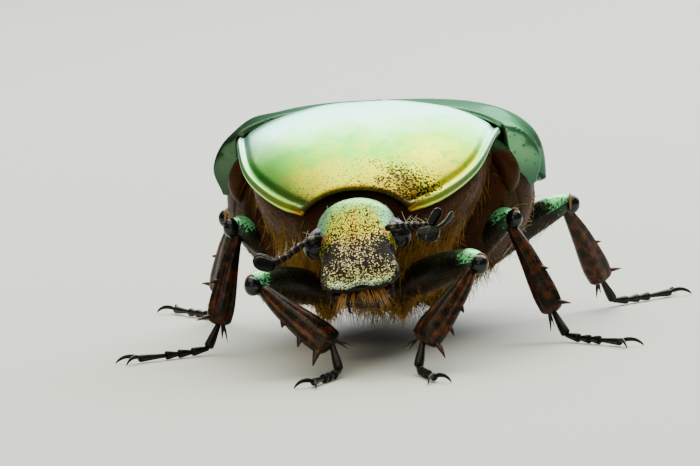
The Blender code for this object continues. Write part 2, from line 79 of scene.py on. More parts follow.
# Trunk: how deep its seams cut and how far the hind body's rings step.
GROOVE_DEPTH = 0.055
RING_STEP = 0.09

# Head, before it is rolled and turned about the neck.
FACE_TILT = math.radians(51.0)
FACE_LENGTH = 2.97
CLYPEUS_EDGE = (-0.06, 2.86)
HEAD_BACK = 2.55
EDGE_SHARE = 0.03
HEAD_ROLL = math.radians(-5.5)
HEAD_YAW = math.radians(4.3)
HEAD_PIVOT = np.array([0.0, 2.4, 4.77])
EYE_RADIUS = 0.42
EYE_PLACE = np.array([1.28, 1.78, 4.02])

# Feelers: the line of each stem, and of each leaf its line, breadth, thickness and way across.
SCAPE = 0.34
LEFT_STEM = ((1.10, 1.34, 4.43), (1.35, 1.12, 4.50), (1.74, 1.00, 4.53), (2.15, 0.94, 4.52),
             (2.55, 0.90, 4.53))
RIGHT_STEM = ((-0.94, 1.34, 4.20), (-1.22, 1.06, 4.18), (-1.55, 0.95, 4.03), (-2.00, 0.86, 3.73),
              (-2.42, 0.80, 3.50))
LEFT_CLUB = (
    (((2.46, 0.90, 4.42), (2.60, 0.88, 4.64), (2.74, 0.84, 4.86), (2.83, 0.78, 5.06)),
     0.17, 0.075, (1, 0.3, 0)),
    (((2.50, 0.88, 4.42), (2.84, 0.86, 4.52), (3.08, 0.82, 4.68), (3.25, 0.78, 4.94)),
     0.20, 0.075, (0.5, 1, 0)),
    (((2.58, 0.84, 4.50), (2.54, 0.72, 4.40), (2.46, 0.62, 4.25), (2.40, 0.56, 4.06)),
     0.36, 0.085, (1, 0.1, 0.2)),
)
RIGHT_CLUB = (
    (((-2.34, 0.84, 3.54), (-2.52, 0.74, 3.54), (-2.76, 0.66, 3.64), (-3.00, 0.60, 3.78)),
     0.22, 0.07, (0, 0.2, 1)),
    (((-2.34, 0.76, 3.54), (-2.52, 0.60, 3.52), (-2.76, 0.50, 3.62), (-2.99, 0.44, 3.76)),
     0.23, 0.07, (0, 0.2, 1)),
    (((-2.34, 0.68, 3.53), (-2.52, 0.48, 3.50), (-2.74, 0.36, 3.58), (-2.95, 0.29, 3.71)),
     0.22, 0.07, (0, 0.2, 1)),
)

# Legs: hip, knee and ankle, the way the foot points on the ground, and its length.
LEGS = {
    "front_left": ((1.15, 3.90, 2.25), (3.88, 1.25, 3.30), (2.20, 0.30, 0.98), (0.35, -0.94), 2.8),
    "front_right": ((-1.20, 3.90, 2.20), (-3.08, 1.20, 2.88), (-0.66, 0.20, 0.98), (-0.28, -0.96), 2.8),
    "middle_left": ((1.75, 8.70, 1.55), (4.25, 7.35, 4.00), (5.65, 6.90, 0.98), (0.74, -0.67), 3.3),
    "middle_right": ((-1.75, 8.70, 1.55), (-4.40, 7.45, 4.05), (-5.15, 6.80, 0.98), (-0.80, -0.60), 3.3),
    "hind_left": ((1.75, 11.90, 1.55), (5.55, 12.90, 3.80), (6.55, 15.00, 0.98), (0.62, 0.78), 3.6),
    "hind_right": ((-1.75, 11.90, 1.55), (-5.35, 12.95, 3.75), (-6.30, 15.10, 0.98), (-0.60, 0.80), 3.6),
}
# For each pair of legs: the hip's half sizes, the teeth's places along the shin, and its breadth.
PAIRS = {
    "front": ((0.56, 0.62, 0.72), (0.45, 0.70, 0.94), 1.0),
    "middle": ((0.62, 0.50, 0.55), (0.55, 0.95), 0.82),
    "hind": ((0.75, 0.50, 0.50), (0.55, 0.95), 0.84),
}
SOLE = 0.16
SHIN_START = 0.22

# Marks by which a material tells the shapes of one piece apart.
LEDGE, NECK = 1.0, 2.0
THIGH, SHIN, KNOB, SKIN, FOOT = 1.0, 2.0, 3.0, 4.0, 5.0
LEAF = 1.0
LIP = 1.0
SHOULDER = 1.0

# Each hair is a cone of this many sides and rings, and a patch of this size on the flat plan.
HAIR_SIDES = 3
HAIR_RINGS = 4
PATCH = 0.003


def smoothstep(t):
    """0 below 0, 1 above 1 and 3t² - 2t³ between."""
    t = np.clip(t, 0.0, 1.0)
    return t * t * (3.0 - 2.0 * t)


def bell(t, centre, width):
    """exp of minus the square of (t - centre) / width: a hump of height 1."""
    return np.exp(-(((t - centre) / width) ** 2))


def round_end(t):
    """A quarter circle's rise, the root of 1 - (1 - t)²: 0 at 0 and 1 from 1 on."""
    return np.sqrt(np.clip(1 - np.clip(1 - t, 0, 1) ** 2, 0, 1))


def power_of(value, power):
    """The value's sign times its size to a power."""
    return np.sign(value) * np.abs(value) ** power


def unit(vectors):
    """Each vector divided by its length."""
    vectors = np.asarray(vectors, float)
    return vectors / np.maximum(np.linalg.norm(vectors, axis=-1, keepdims=True), 1e-12)


def alike(u, v):
    """u and v as number arrays of one shape."""
    return np.broadcast_arrays(np.asarray(u, float), np.asarray(v, float))


def spline(points, t):
    """Catmull-Rom curve: cubics through the points, each along its neighbours' chord."""
    points = np.asarray(points, float)
    spans = len(points) - 1
    place = np.clip(t, 0.0, 1.0) * spans
    index = np.minimum(place.astype(int), spans - 1)
    s = (place - index)[..., None]
    ends = (2 * points[:1] - points[1:2], points, 2 * points[-1:] - points[-2:-1])
    padded = np.concatenate(ends)
    a, b, c, d = (padded[index + k] for k in range(4))
    cubic = (3 * b - a - 3 * c + d) * s + (2 * a - 5 * b + 4 * c - d)
    return 0.5 * (2 * b + (c - a) * s + cubic * s * s)


def curve(values, t):
    """The same curve through plain numbers."""
    return spline(np.asarray(values, float)[:, None], t)[..., 0]


def waves(points, length, seed):
    """A smooth uneven field from -1 to 1: the mean of six sine waves in seeded directions."""
    draw = np.random.default_rng(seed)
    ways = unit(draw.normal(size=(6, 3))) * TAU / length * draw.uniform(0.6, 1.6, (6, 1))
    phases = draw.uniform(0, TAU, 6)
    return np.sin(points @ ways.T + phases).mean(axis=-1) * 1.6


HEAD_TURN = np.array(Matrix.Rotation(HEAD_YAW, 3, "Z") @ Matrix.Rotation(HEAD_ROLL, 3, "Y"))


def turn_head(points):
    """Roll and turn points of the head about the neck, as the animal holds it."""
    return (np.asarray(points) - HEAD_PIVOT) @ HEAD_TURN.T + HEAD_PIVOT


def frame_shift():
    """From these millimetres to the frame: the left eye's place here, less its place there."""
    low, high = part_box("eye_left")
    return turn_head(EYE_PLACE) - (np.array(low) + np.array(high)) / 2 / MM


SHIFT = frame_shift()


def limb(points, wide, thick, across, start, end, fullness=1.0):
    """A surface round a smooth curve.

    The section at v is an oval: half size wide(v) along across and thick(v) square to it, each
    a smooth curve through its list, as sine and cosine of u turns to the power of fullness.
    Over the shares start and end of its length it shrinks as a quarter circle, to a round end.
    """
    across = np.asarray(across, float)

    def surface(u, v):
        u, v = alike(u, v)
        centre = spline(points, v)
        ahead = unit(spline(points, np.minimum(v + 0.01, 1)) - spline(points, np.maximum(v - 0.01, 0)))
        side = unit(across - ahead * (ahead @ across)[..., None])
        other = np.cross(ahead, side)
        cap = round_end(v / start) * round_end((1 - v) / end)
        a = curve(wide, v) * cap * power_of(np.sin(u * TAU), fullness)
        b = curve(thick, v) * cap * power_of(np.cos(u * TAU), fullness)
        return centre + side * a[..., None] + other * b[..., None]

    return surface


def ball(centre, radii):
    """An ellipsoid: u turns round Z, v from the top pole to the lower one."""

    def surface(u, v):
        u, v = alike(u, v)
        ring = np.sin(v * math.pi)
        parts = (ring * np.cos(u * TAU), ring * np.sin(u * TAU), np.cos(v * math.pi))
        return np.asarray(centre) + np.stack(parts, axis=-1) * np.asarray(radii)

    return surface


def spread(count, crowd):
    """count + 1 steps from 0 to 1, closer at both ends: s less crowd times its sine."""
    s = np.linspace(0, 1, count + 1)
    return s - crowd * np.sin(TAU * s) / TAU


def tube_faces(rows, columns):
    """Corner numbers of the quads of a grid that closes round its columns."""
    i, j = np.meshgrid(np.arange(rows - 1), np.arange(columns), indexing="ij")
    k = (j + 1) % columns
    quads = (i * columns + j, i * columns + k, (i + 1) * columns + k, (i + 1) * columns + j)
    return np.stack(quads, axis=-1).reshape(-1, 4)


def outward(points, quads, tris):
    """Turn all faces over if the volume inside them comes out below zero."""
    a, b, c, d = (points[quads[:, k]] for k in range(4))
    volume = (np.cross(a, b) * c).sum() + (np.cross(a, c) * d).sum()
    e, f, g = (points[tris[:, k]] for k in range(3))
    volume += (np.cross(e, f) * g).sum()
    return (quads[:, ::-1], tris[:, ::-1]) if volume < 0 else (quads, tris)


def closed(surface, around, along, crowd=0.6, mark=0.0):
    """A closed mesh of a surface: rings between two poles, with its u, v at each point.

    mark is a number by which the material may tell this shape apart.
    """
    u = np.arange(around) / around
    v = spread(along, crowd)[1:-1]
    vv, uu = np.meshgrid(v, u, indexing="ij")
    rings = surface(uu, vv)
    poles = [surface(u, np.full(around, end)).mean(axis=0) for end in (0.0, 1.0)]
    points = np.concatenate([rings.reshape(-1, 3), poles])
    ring = np.arange(around)
    after = (ring + 1) % around
    last = (len(v) - 1) * around
    first_fan = np.stack([np.full(around, len(points) - 2), after, ring], axis=-1)
    last_fan = np.stack([np.full(around, len(points) - 1), last + ring, last + after], axis=-1)
    fans = np.concatenate([first_fan, last_fan])
    quads, tris = outward(points, tube_faces(len(v), around), fans)
    return {
        "points": points,
        "quads": quads,
        "tris": tris,
        "mark": np.full(len(points), mark),
        "round": np.concatenate([uu.ravel(), [0.0, 0.0]]),
        "along": np.concatenate([vv.ravel(), [0.0, 1.0]]),
    }


def plate(surface, across, along, thickness, crowd=0.75, rounding=0.5):
    """A closed plate under a surface, both faces meeting in a rounded edge.

    The middle sheet lies half the thickness inside. The faces stand off it by half the
    thickness times the root of 1 - (1 - d)², where d is the distance to the nearest border
    over the rounding's share of the thickness, at most 1, so at the border they meet and
    share their points. Its mark is 0 on the outer face, 0.5 on the edge and 1 inside.
    """
    u, v = 2 * spread(across, crowd) - 1, spread(along, crowd)
    vv, uu = np.meshgrid(v, u, indexing="ij")
    outer = surface(uu, vv)
    normal = unit(np.cross(np.gradient(outer, axis=1), np.gradient(outer, axis=0)))
    if normal[..., 2].mean() < 0:
        normal = -normal
    gaps = []
    for axis in (0, 1):
        steps = np.linalg.norm(np.diff(outer, axis=axis), axis=2)
        run = np.insert(np.cumsum(steps, axis=axis), 0, 0.0, axis=axis)
        gaps.append(np.minimum(run, run.take([-1], axis=axis) - run))
    near = np.clip(np.minimum(*gaps) / (thickness * rounding), 0, 1)
    stand = normal * (thickness / 2 * np.sqrt(1 - (1 - near) ** 2))[..., None]
    middle = outer - normal * thickness / 2
    rows, columns = uu.shape
    top = np.arange(rows * columns).reshape(rows, columns)
    under = top.copy()
    inner_count = (rows - 2) * (columns - 2)
    under[1:-1, 1:-1] = rows * columns + np.arange(inner_count).reshape(rows - 2, columns - 2)
    lower = (middle - stand)[1:-1, 1:-1]
    points = np.concatenate([(middle + stand).reshape(-1, 3), lower.reshape(-1, 3)])
    quads = []
    for sheet, step in ((top, 1), (under, -1)):
        corners = (sheet[:-1, :-1], sheet[:-1, 1:], sheet[1:, 1:], sheet[1:, :-1])
        quads.append(np.stack(corners, axis=-1).reshape(-1, 4)[:, ::step])
    quads, tris = outward(points, np.concatenate(quads), np.zeros((0, 3), int))
    both = [np.concatenate([grid.ravel(), grid[1:-1, 1:-1].ravel()]) for grid in (uu, vv)]
    mark = np.concatenate([np.where(near > 0, 0.0, 0.5).ravel(), np.ones(inner_count)])
    return {"points": points, "quads": quads, "tris": tris, "mark": mark, "round": both[0], "along": both[1]}


def put(name, finish, slot, shapes, *nodes):
    """Make one mesh object of closed shapes, in metres, let it ride, and hide the model's parts that it
    stands for.
    """
    quads, tris = [], []
    offset = 0
    for shape in shapes:
        quads.append(shape["quads"] + offset)
        tris.append(shape["tris"] + offset)
        offset += len(shape["points"])
    points = (np.concatenate([shape["points"] for shape in shapes]) - SHIFT) * MM
    quads, tris = np.concatenate(quads), np.concatenate(tris)
    corners = np.concatenate([quads.ravel(), tris.ravel()])
    starts = np.concatenate([np.arange(len(quads)) * 4, quads.size + np.arange(len(tris)) * 3])
    mesh = bpy.data.meshes.new(name)
    mesh.vertices.add(len(points))
    mesh.vertices.foreach_set("co", points.ravel())
    mesh.loops.add(len(corners))
    mesh.loops.foreach_set("vertex_index", corners)
    mesh.polygons.add(len(starts))
    mesh.polygons.foreach_set("loop_start", starts)
    mesh.update(calc_edges=True)
    mesh.validate()
    for key in ("mark", "round", "along"):
        layer = mesh.attributes.new(key, "FLOAT", "POINT")
        layer.data.foreach_set("value", np.concatenate([shape[key] for shape in shapes]))
    if "plan" in shapes[0]:
        layer = mesh.uv_layers.new(name="OFBake")
        plans = np.concatenate([shape["plan"] for shape in shapes])
        layer.uv.foreach_set("vector", plans[corners].ravel())
    mesh.shade_smooth()
    mesh.materials.append(finish)
    item = bpy.data.objects.new(name, mesh)
    bpy.context.scene.collection.objects.link(item)
    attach(item, "root")
    if nodes:
        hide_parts(*nodes)


class Term:
    """A node's output that Python's operators work on: each operation adds one Math node."""

    def __init__(self, recipe, socket):
        self.recipe = recipe
        self.socket = socket

    def maths(self, operation, *values):
        """One Math node of this operation on these values."""
        return self.recipe.node("ShaderNodeMath", {"operation": operation}, dict(enumerate(values)))

    def __add__(self, other):
        return self.maths("ADD", self, other)

    def __radd__(self, other):
        return self.maths("ADD", other, self)

    def __sub__(self, other):
        return self.maths("SUBTRACT", self, other)

    def __rsub__(self, other):
        return self.maths("SUBTRACT", other, self)

    def __mul__(self, other):
        return self.maths("MULTIPLY", self, other)

    def __rmul__(self, other):
        return self.maths("MULTIPLY", other, self)

    def __abs__(self):
        return self.maths("ABSOLUTE", self)

    def rise(self, low, high):
        """An S-shaped rise from 0 where the term is low to 1 where it is high."""
        inputs = {"Value": self, "From Min": low, "From Max": high}
        return self.recipe.node("ShaderNodeMapRange", {"interpolation_type": "SMOOTHSTEP"}, inputs)

    def fall(self, low, high):
        """The opposite: 1 at low and 0 at high."""
        return 1.0 - self.rise(low, high)

    def hump(self, centre, width):
        """1 at the centre, falling to 0 at width to either side."""
        return abs(self - centre).fall(0.0, width)


class Recipe:
    """A material in the making, around its Principled shader."""

    def __init__(self, name, **constants):
        self.material = bpy.data.materials.new(name)
        self.material.use_nodes = True
        self.tree = self.material.node_tree
        self.shader = self.tree.nodes["Principled BSDF"]
        for socket, value in constants.items():
            self.shader.inputs[socket.replace("_", " ")].default_value = value
        self.places = {}

    def node(self, kind, settings=None, inputs=None, output=0):
        """Any node: its settings first, then the values or links of its sockets."""
        node = self.tree.nodes.new(kind)
        for setting, value in (settings or {}).items():
            if setting == "stops":
                self.set_stops(node.color_ramp, value)
            else:
                setattr(node, setting, value)
        for socket, value in (inputs or {}).items():
            self.feed(node.inputs[socket], value)
        return Term(self, node.outputs[output])

    def set_stops(self, ramp, stops):
        """Give a colour ramp its stops, each a place and a colour."""
        while len(ramp.elements) < len(stops):
            ramp.elements.new(0.5)
        for element, (place, colour) in zip(ramp.elements, stops):
            element.position = place
            element.color = (*colour, 1.0)

    def feed(self, socket, value):
        """Link a term to a socket, or set the socket's own value."""
        if isinstance(value, Term):
            self.tree.links.new(value.socket, socket)
        elif isinstance(value, tuple) and len(value) == 3 and socket.type == "RGBA":
            socket.default_value = (*value, 1.0)
        else:
            socket.default_value = value

    def vector(self, operation, first, second):
        """One Vector Math node."""
        return self.node("ShaderNodeVectorMath", {"operation": operation}, {0: first, 1: second})

    def length(self, vector):
        """The length of a vector."""
        return self.node("ShaderNodeVectorMath", {"operation": "LENGTH"}, {0: vector}, output="Value")

    def place(self, centre=(0.0, 0.0, 0.0)):
        """Object coordinates in millimetres, as the shapes are worked out in, from a centre."""
        if centre not in self.places:
            coordinates = self.node("ShaderNodeTexCoord", output="Object")
            offset = tuple((SHIFT - np.array(centre)) * MM)
            moved = self.vector("ADD", coordinates, offset)
            self.places[centre] = self.vector("MULTIPLY", moved, (1000.0, 1000.0, 1000.0))
        return self.places[centre]

    def axis(self, letter):
        """One coordinate of the place in millimetres."""
        return self.node("ShaderNodeSeparateXYZ", None, {0: self.place()}, output="XYZ".index(letter))

    def value_of(self, name):
        """A number that the mesh keeps at each point: along, round or mark."""
        return self.node("ShaderNodeAttribute", {"attribute_name": name}, output="Fac")

    def part(self, mark):
        """1 on the shapes with this mark, 0 on the others."""
        return self.value_of("mark").hump(mark, 0.5)

    def inner_face(self):
        """How much of a plate's dark inner face shows, and its colour."""
        return self.value_of("mark").rise(0.55, 0.9), (0.014, 0.010, 0.006)

    def noise(self, size, detail=2.0, stretch=(1.0, 1.0, 1.0), distortion=0.0):
        """Cloudy noise from 0 to 1 with features about size millimetres across."""
        where = self.vector("MULTIPLY", self.place(), stretch)
        inputs = {"Vector": where, "Scale": 1.0 / size, "Detail": detail, "Distortion": distortion}
        return self.node("ShaderNodeTexNoise", None, inputs)

    def cells(self, size, output="Distance", jitter=1.0):
        """Distance to the nearest of points scattered about size millimetres apart, or its colour."""
        inputs = {"Vector": self.place(), "Scale": 1.0 / size, "Randomness": jitter}
        return self.node("ShaderNodeTexVoronoi", None, inputs, output=output)

    def pits(self, size, inside, outside):
        """Round pits about size apart: 1 within a share of that from their middles, 0 outside."""
        return self.cells(size).fall(inside, outside)

    def blots(self, where, places):
        """Distance to the nearest of some ovals: 0 at a centre, 1 on a rim.

        Each place is an oval's two coordinates, its half length and half width, and its turn.
        """
        nearest = 9.0
        for first, second, length, width, turn in places:
            inputs = {0: where, "Location": (first, second, 0), "Rotation": (0, 0, turn),
                      "Scale": (length, width, 1)}
            away = self.length(self.node("ShaderNodeMapping", {"vector_type": "TEXTURE"}, inputs))
            nearest = away.maths("MINIMUM", nearest, away)
        return nearest

    def plane(self, first, second, waver, size):
        """Two coordinates as a vector, wavering by noise of that size so that rims are uneven."""
        flat = self.node("ShaderNodeCombineXYZ", None, {0: first, 1: second})
        inputs = {"Vector": self.place(), "Scale": 1.0 / size, "Detail": 3.0}
        cloud = self.node("ShaderNodeTexNoise", None, inputs, output="Color")
        shift = self.vector("SUBTRACT", cloud, (0.5, 0.5, 0.5))
        return self.vector("ADD", flat, self.vector("MULTIPLY", shift, (waver, waver, 0.0)))

    def ramp(self, value, *stops):
        """Colours along a value."""
        return self.node("ShaderNodeValToRGB", {"stops": stops}, {0: value})

    def mix(self, factor, first, second):
        """A colour between two colours."""
        settings = {"data_type": "RGBA", "clamp_factor": True}
        return self.node("ShaderNodeMix", settings, {0: factor, 6: first, 7: second}, output=2)

    def paint(self, colour, *layers):
        """A colour with others over it, each given as how much of it shows and what it is."""
        for share, tint in layers:
            colour = self.mix(share, colour, tint)
        return colour

    def bump(self, height, depth, strength):
        """Relief of so many millimetres."""
        inputs = {"Height": height, "Distance": depth * MM, "Strength": strength}
        return self.node("ShaderNodeBump", None, inputs)

    def finish(self, **links):
        """Link the shader's sockets and give the material."""
        for socket, value in links.items():
            self.feed(self.shader.inputs[socket.replace("_", " ")], value)
        return self.material


def shield_surface(u, v):
    """The shield over the forebody: u from right rim to left rim, v from collar to base.

    Its half width opens fast behind the front corners and bulges before the middle. The rim
    climbs in an S from front to hind corner, the middle line climbs in an arc and is lifted
    towards the base, and a flattened arch joins them. A round bead follows both rims with a
    furrow inside it. The base bows back, less so before the small shield.
    """
    side = np.abs(u)
    half = FRONT_CORNER[0] + (HIND_CORNER[0] - FRONT_CORNER[0]) * (1 - (1 - v) ** 2.2)
    half = half + RIM_BULGE * bell(v, 0.45, 0.20)
    front = COLLAR[0] + (FRONT_CORNER[1] - COLLAR[0]) * side**2
    base = HIND_CORNER[1] + (BASE_MIDDLE[0] - HIND_CORNER[1]) * (1 - side**2.2)
    base = base - 0.10 * bell(u, 0.0, 0.22)
    rim = FRONT_CORNER[2] + (HIND_CORNER[2] - FRONT_CORNER[2]) * smoothstep(v / 0.9)
    middle = COLLAR[1] + (BASE_MIDDLE[1] - COLLAR[1]) * (1 - (1 - v) ** 1.8)
    middle = middle + BASE_LIFT * smoothstep((v - 0.45) / 0.55)
    arch = np.clip(1 - side**2.3, 0.0, 1.0) ** 0.75
    from_rim = (1 - side) * half
    bead = BEAD_HEIGHT * bell(from_rim, 0.09, 0.08) - FURROW_DEPTH * bell(from_rim, 0.27, 0.09)
    z = rim + (middle - rim) * arch + bead * smoothstep(v / 0.06)
    points = np.stack([u * half, front * (1 - v) + base * v, z], axis=-1)
    points[..., 2] += 0.012 * waves(points, 1.6, 5) * (1 - side**4)
    return points


def elytra_crest(y):
    """Height of the wing cases' middle line: level at the front, falling to the tail."""
    back = np.clip((y - ELYTRA_CREST) / (ELYTRA_END - ELYTRA_CREST), 0, 1.2)
    return ELYTRA_TOP - ELYTRA_FALL * back**2.5


def elytra_half(v):
    """Half width over both wing cases at a share of their length: narrowing, and drawn in early."""
    return HALF_WIDTH * (1 - NARROWING * v**3.0) - 0.22 * bell(v, 0.24, 0.11)


def scutellum_clearance(y):
    """Where a wing case's inner edge runs: along the small shield, then along the suture."""
    return SUTURE + 1.42 * np.clip((SCUTELLUM_END - y) / 2.5, 0, 1)


def wing_case_surface(u, v):
    """The left wing case: u from -1 at the suture to 1 at the side margin, v from base to tip.

    In section it is a flat top with a strongly rounded side, a cubic superellipse. The front
    edge follows the shield's base and lies further back beside its corner. The side margin is
    drawn in behind the shoulder and the end is rounded. There is a knob on the shoulder and
    one before the tip, the rear half is pressed in beside the raised suture, and two low ribs
    run back over it. The front edge of the shoulder turns in by a quarter ellipse, and the margin
    under it curls in by a square, which fades out by half the length.
    """
    u = (u + 1) / 2
    half = elytra_half(v) - 0.17 * bell(v, 0.0, 0.05)
    behind = smoothstep((u - 0.42) / 0.25)
    forward = 0.10 + 0.50 * smoothstep(u / 0.45)
    base = ELYTRA_FRONT - forward * (1 - behind) - 0.22 * np.sin(math.pi * u) * behind + 0.60 * u**5
    end = ELYTRA_END - 2.9 * u**2.0
    y = base * (1 - v) + end * v
    inner = scutellum_clearance(ELYTRA_FRONT * (1 - v) + ELYTRA_END * v)
    begin = np.arcsin((inner / half) ** 1.5)
    turn = begin + (math.pi / 2 - begin) * u**0.8
    x = half * np.sin(turn) ** (2 / 3)
    margin = MARGIN_HEIGHT + 0.30 * bell(v, 0.27, 0.14) - 0.55 * v**2
    rise = np.clip(np.cos(turn), 0, 1) ** (2 / 3)
    z = margin + (elytra_crest(y) - margin) * rise
    for knob_x, knob_y, height in KNOBS:
        z = z + height * bell(np.hypot(x - knob_x, y - knob_y), 0, 0.7)
    rear = smoothstep((y - 10.4) / 2.0) * smoothstep((16.6 - y) / 1.2)
    first_rib = bell(x, 1.55 + 0.07 * (y - 10), 0.14)
    second_rib = bell(x, 2.75 + 0.02 * (y - 10), 0.16)
    z = z + rear * (0.05 * bell(x, 0.12, 0.13) - 0.10 * bell(x, 0.75, 0.50))
    z = z + rear * (0.055 * first_rib + 0.045 * second_rib - 0.04 * bell(x, 2.15, 0.3))
    front = np.clip(1 - v / 0.06, 0, 1)
    tuck = (1 - np.sqrt(1 - front**2)) * smoothstep((u - 0.36) / 0.35)
    curl = 0.30 * np.clip((u - 0.82) / 0.18, 0, 1) ** 2 * (1 - smoothstep(v / 0.5))
    return np.stack([x - 0.85 * tuck * np.sin(turn) - curl, y, z - 0.95 * tuck * rise], axis=-1)


def mirrored(surface):
    """The same surface on the animal's other side."""
    return lambda u, v: surface(-u, v) * np.array([-1.0, 1.0, 1.0])


def small_shield_surface(u, v):
    """The long triangle between the wing cases: as wide as they leave, with a low arch across."""
    y = ELYTRA_FRONT - 0.10 + (SCUTELLUM_END - ELYTRA_FRONT - 0.02) * v
    half = np.maximum(scutellum_clearance(y) - 0.04, 0.015)
    z = elytra_crest(y) + 0.02 - 0.07 * u**2 + 0.03 * (1 - v)
    return np.stack([u * half, y, z], axis=-1)


def tail_surface(u, v):
    """The tail plate: convex, wide under the wing cases' ends and drawn in below."""
    half = 2.95 * (1 - 0.72 * v**2.2) * (1 - 0.10 * (1 - v) ** 6)
    y = 16.65 + 0.62 * np.sin(math.pi * (0.2 + 0.7 * v)) - 0.45 * v - 0.9 * u**2 * (1 - 0.3 * v)
    z = 4.02 - 2.15 * v - 0.50 * u**2 * (1 - v) ** 2
    return np.stack([u * half, y, z], axis=-1)


def make_back(shield, wing_case, tail):
    """The shield, both wing cases, the small shield between them and the tail plate."""
    put("shield", shield, "shield", [plate(shield_surface, 230, 150, SHELL)], "pronotum")
    for side, surface in (("left", wing_case_surface), ("right", mirrored(wing_case_surface))):
        case = plate(surface, 130, 210, SHELL, rounding=0.2)
        put(side + "_wing_case", wing_case, "wing_case", [case], "elytron_" + side)
    triangle = plate(small_shield_surface, 60, 90, 0.3, 0.8, 0.2)
    put("small_shield", wing_case, "wing_case", [triangle], "scutellum")
    put("tail_plate", tail, "wing_case", [plate(tail_surface, 100, 80, 0.3)], "pygidium")


def face_line(reach):
    """y and z of the face's middle line at a distance along it: straight, then bending over."""
    straight = np.minimum(reach, FACE_LENGTH)
    bend = np.clip(reach - FACE_LENGTH, 0, None)
    turned = FACE_TILT * (1 - np.clip(bend, 0, 1) * 1.25)
    y = CLYPEUS_EDGE[0] + straight * math.cos(FACE_TILT) + bend * np.cos(turned)
    return y, CLYPEUS_EDGE[1] + straight * math.sin(FACE_TILT) + bend * np.sin(turned)


def head_length():
    """Distance along the face line at which it reaches the back of the head."""
    trial = np.linspace(FACE_LENGTH, FACE_LENGTH + 1, 200)
    return float(np.interp(HEAD_BACK, face_line(trial)[0], trial))


HEAD_LENGTH = head_length()


def head_surface(u, v):
    """The head: v from the clypeus edge to the neck, u round it from its left over the face.

    Each ring is a superellipse between the face line and the throat line, square over the
    clypeus and round at the crown, where its widest place moves up to the eyes and the cheeks
    draw in. The face line is straight and then bends over. The outline is the clypeus with
    round corners, the waist before the eyes and the crown. Added along the face's normal are
    the raised front and side rims, the hollows inside them, a low keel and two shallow dents
    beside it. The front edge is notched between two low lobes.
    """
    u, v = alike(u, v)
    reach = np.maximum(v - EDGE_SHARE, 0) / (1 - EDGE_SHARE) * HEAD_LENGTH
    cap = round_end(v / EDGE_SHARE)
    top_y, top_z = face_line(reach)
    share = reach / HEAD_LENGTH
    bottom_y = 0.14 + (HEAD_BACK - 0.14) * (1 - (1 - share) ** 1.35)
    bottom_z = CLYPEUS_EDGE[1] - 0.15 + 0.35 * share**1.8
    half = 1.24 - 0.33 * np.clip(1 - reach / 0.62, 0, 1) ** 2.2
    half = half - 0.16 * bell(reach, 1.50, 0.40) + 0.02 * smoothstep((reach - 1.9) / 0.6)
    up, out = np.sin(u * TAU), np.cos(u * TAU)
    crown = smoothstep((reach - 1.3) / 1.0)
    power = np.where(up > 0, 0.55 + 0.42 * crown, 0.90 + 0.60 * crown)
    x = half * power_of(out, power) * cap
    lift = power_of(up, power)
    wide_at = 0.5 + 0.06 * crown
    height = wide_at + np.where(up > 0, 1 - wide_at, wide_at) * lift
    height = 0.5 + (height - 0.5) * cap
    y = bottom_y + (top_y - bottom_y) * height
    z = bottom_z + (top_z - bottom_z) * height
    face = smoothstep(lift * 2.0 - 0.6) * (up > 0)
    rims = 0.050 * bell(reach, 0.09, 0.09) * cap
    rims = rims + 0.040 * bell(np.abs(x) / half, 0.92, 0.06) * smoothstep((1.35 - reach) / 0.5)
    hollow = 0.045 * bell(reach, 0.42, 0.22) * bell(np.abs(x), 0.55, 0.35)
    keel = 0.035 * bell(x, 0.0, 0.12) * smoothstep((reach - 0.7) / 0.5) * smoothstep((2.6 - reach) / 0.5)
    dents = 0.035 * bell(reach, 1.75, 0.4) * bell(np.abs(x), 0.42, 0.2)
    stand = face * (rims - hollow + keel - dents)
    notch = bell(x, 0.0, 0.15) * bell(reach, 0.0, 0.16)
    lobes = bell(np.abs(x), 0.46, 0.27) * bell(reach, 0.0, 0.28)
    y = y - stand * math.sin(FACE_TILT) + 0.05 * notch - 0.02 * lobes
    z = z + stand * math.cos(FACE_TILT) - 0.085 * lobes - 0.02
    return turn_head(np.stack([x, y, z], axis=-1))


def eye_ledge(side):
    """The ledge that juts from the head's side over an eye."""
    line = np.array([[1.00, 1.94, 4.46], [1.18, 1.84, 4.49], [1.36, 1.78, 4.43], [1.50, 1.82, 4.34]])
    points = turn_head(line * np.array([side, 1, 1]))
    return limb(points, [0.22, 0.20, 0.15, 0.09], [0.09, 0.075, 0.06, 0.045], (0, 1, 0.2), 0.1, 0.2)


def make_head(face, eye):
    """Head with clypeus and the ledges over the eyes, the neck behind it, and the round eyes."""
    shapes = [closed(head_surface, 200, 210, 0.3)]
    for side in (-1, 1):
        shapes.append(closed(eye_ledge(side), 40, 40, mark=LEDGE))
    neck = limb([(0.05, 1.9, 4.0), (0.05, 2.6, 4.05), (0.0, 3.5, 4.2)], [1.0, 1.05, 1.1],
                [0.85, 0.95, 1.15], (1, 0, 0), 0.15, 0.1)
    shapes.append(closed(neck, 60, 20, mark=NECK))
    put("crown_and_clypeus", face, "face", shapes, "head")
    for name, side in (("left", 1), ("right", -1)):
        centre = turn_head(EYE_PLACE * np.array([side, 1, 1]))
        radii = [EYE_RADIUS, EYE_RADIUS, EYE_RADIUS * 0.98]
        put(name + "_eye", eye, "eye", [closed(ball(centre, radii), 72, 48, 0.3)], "eye_" + name)


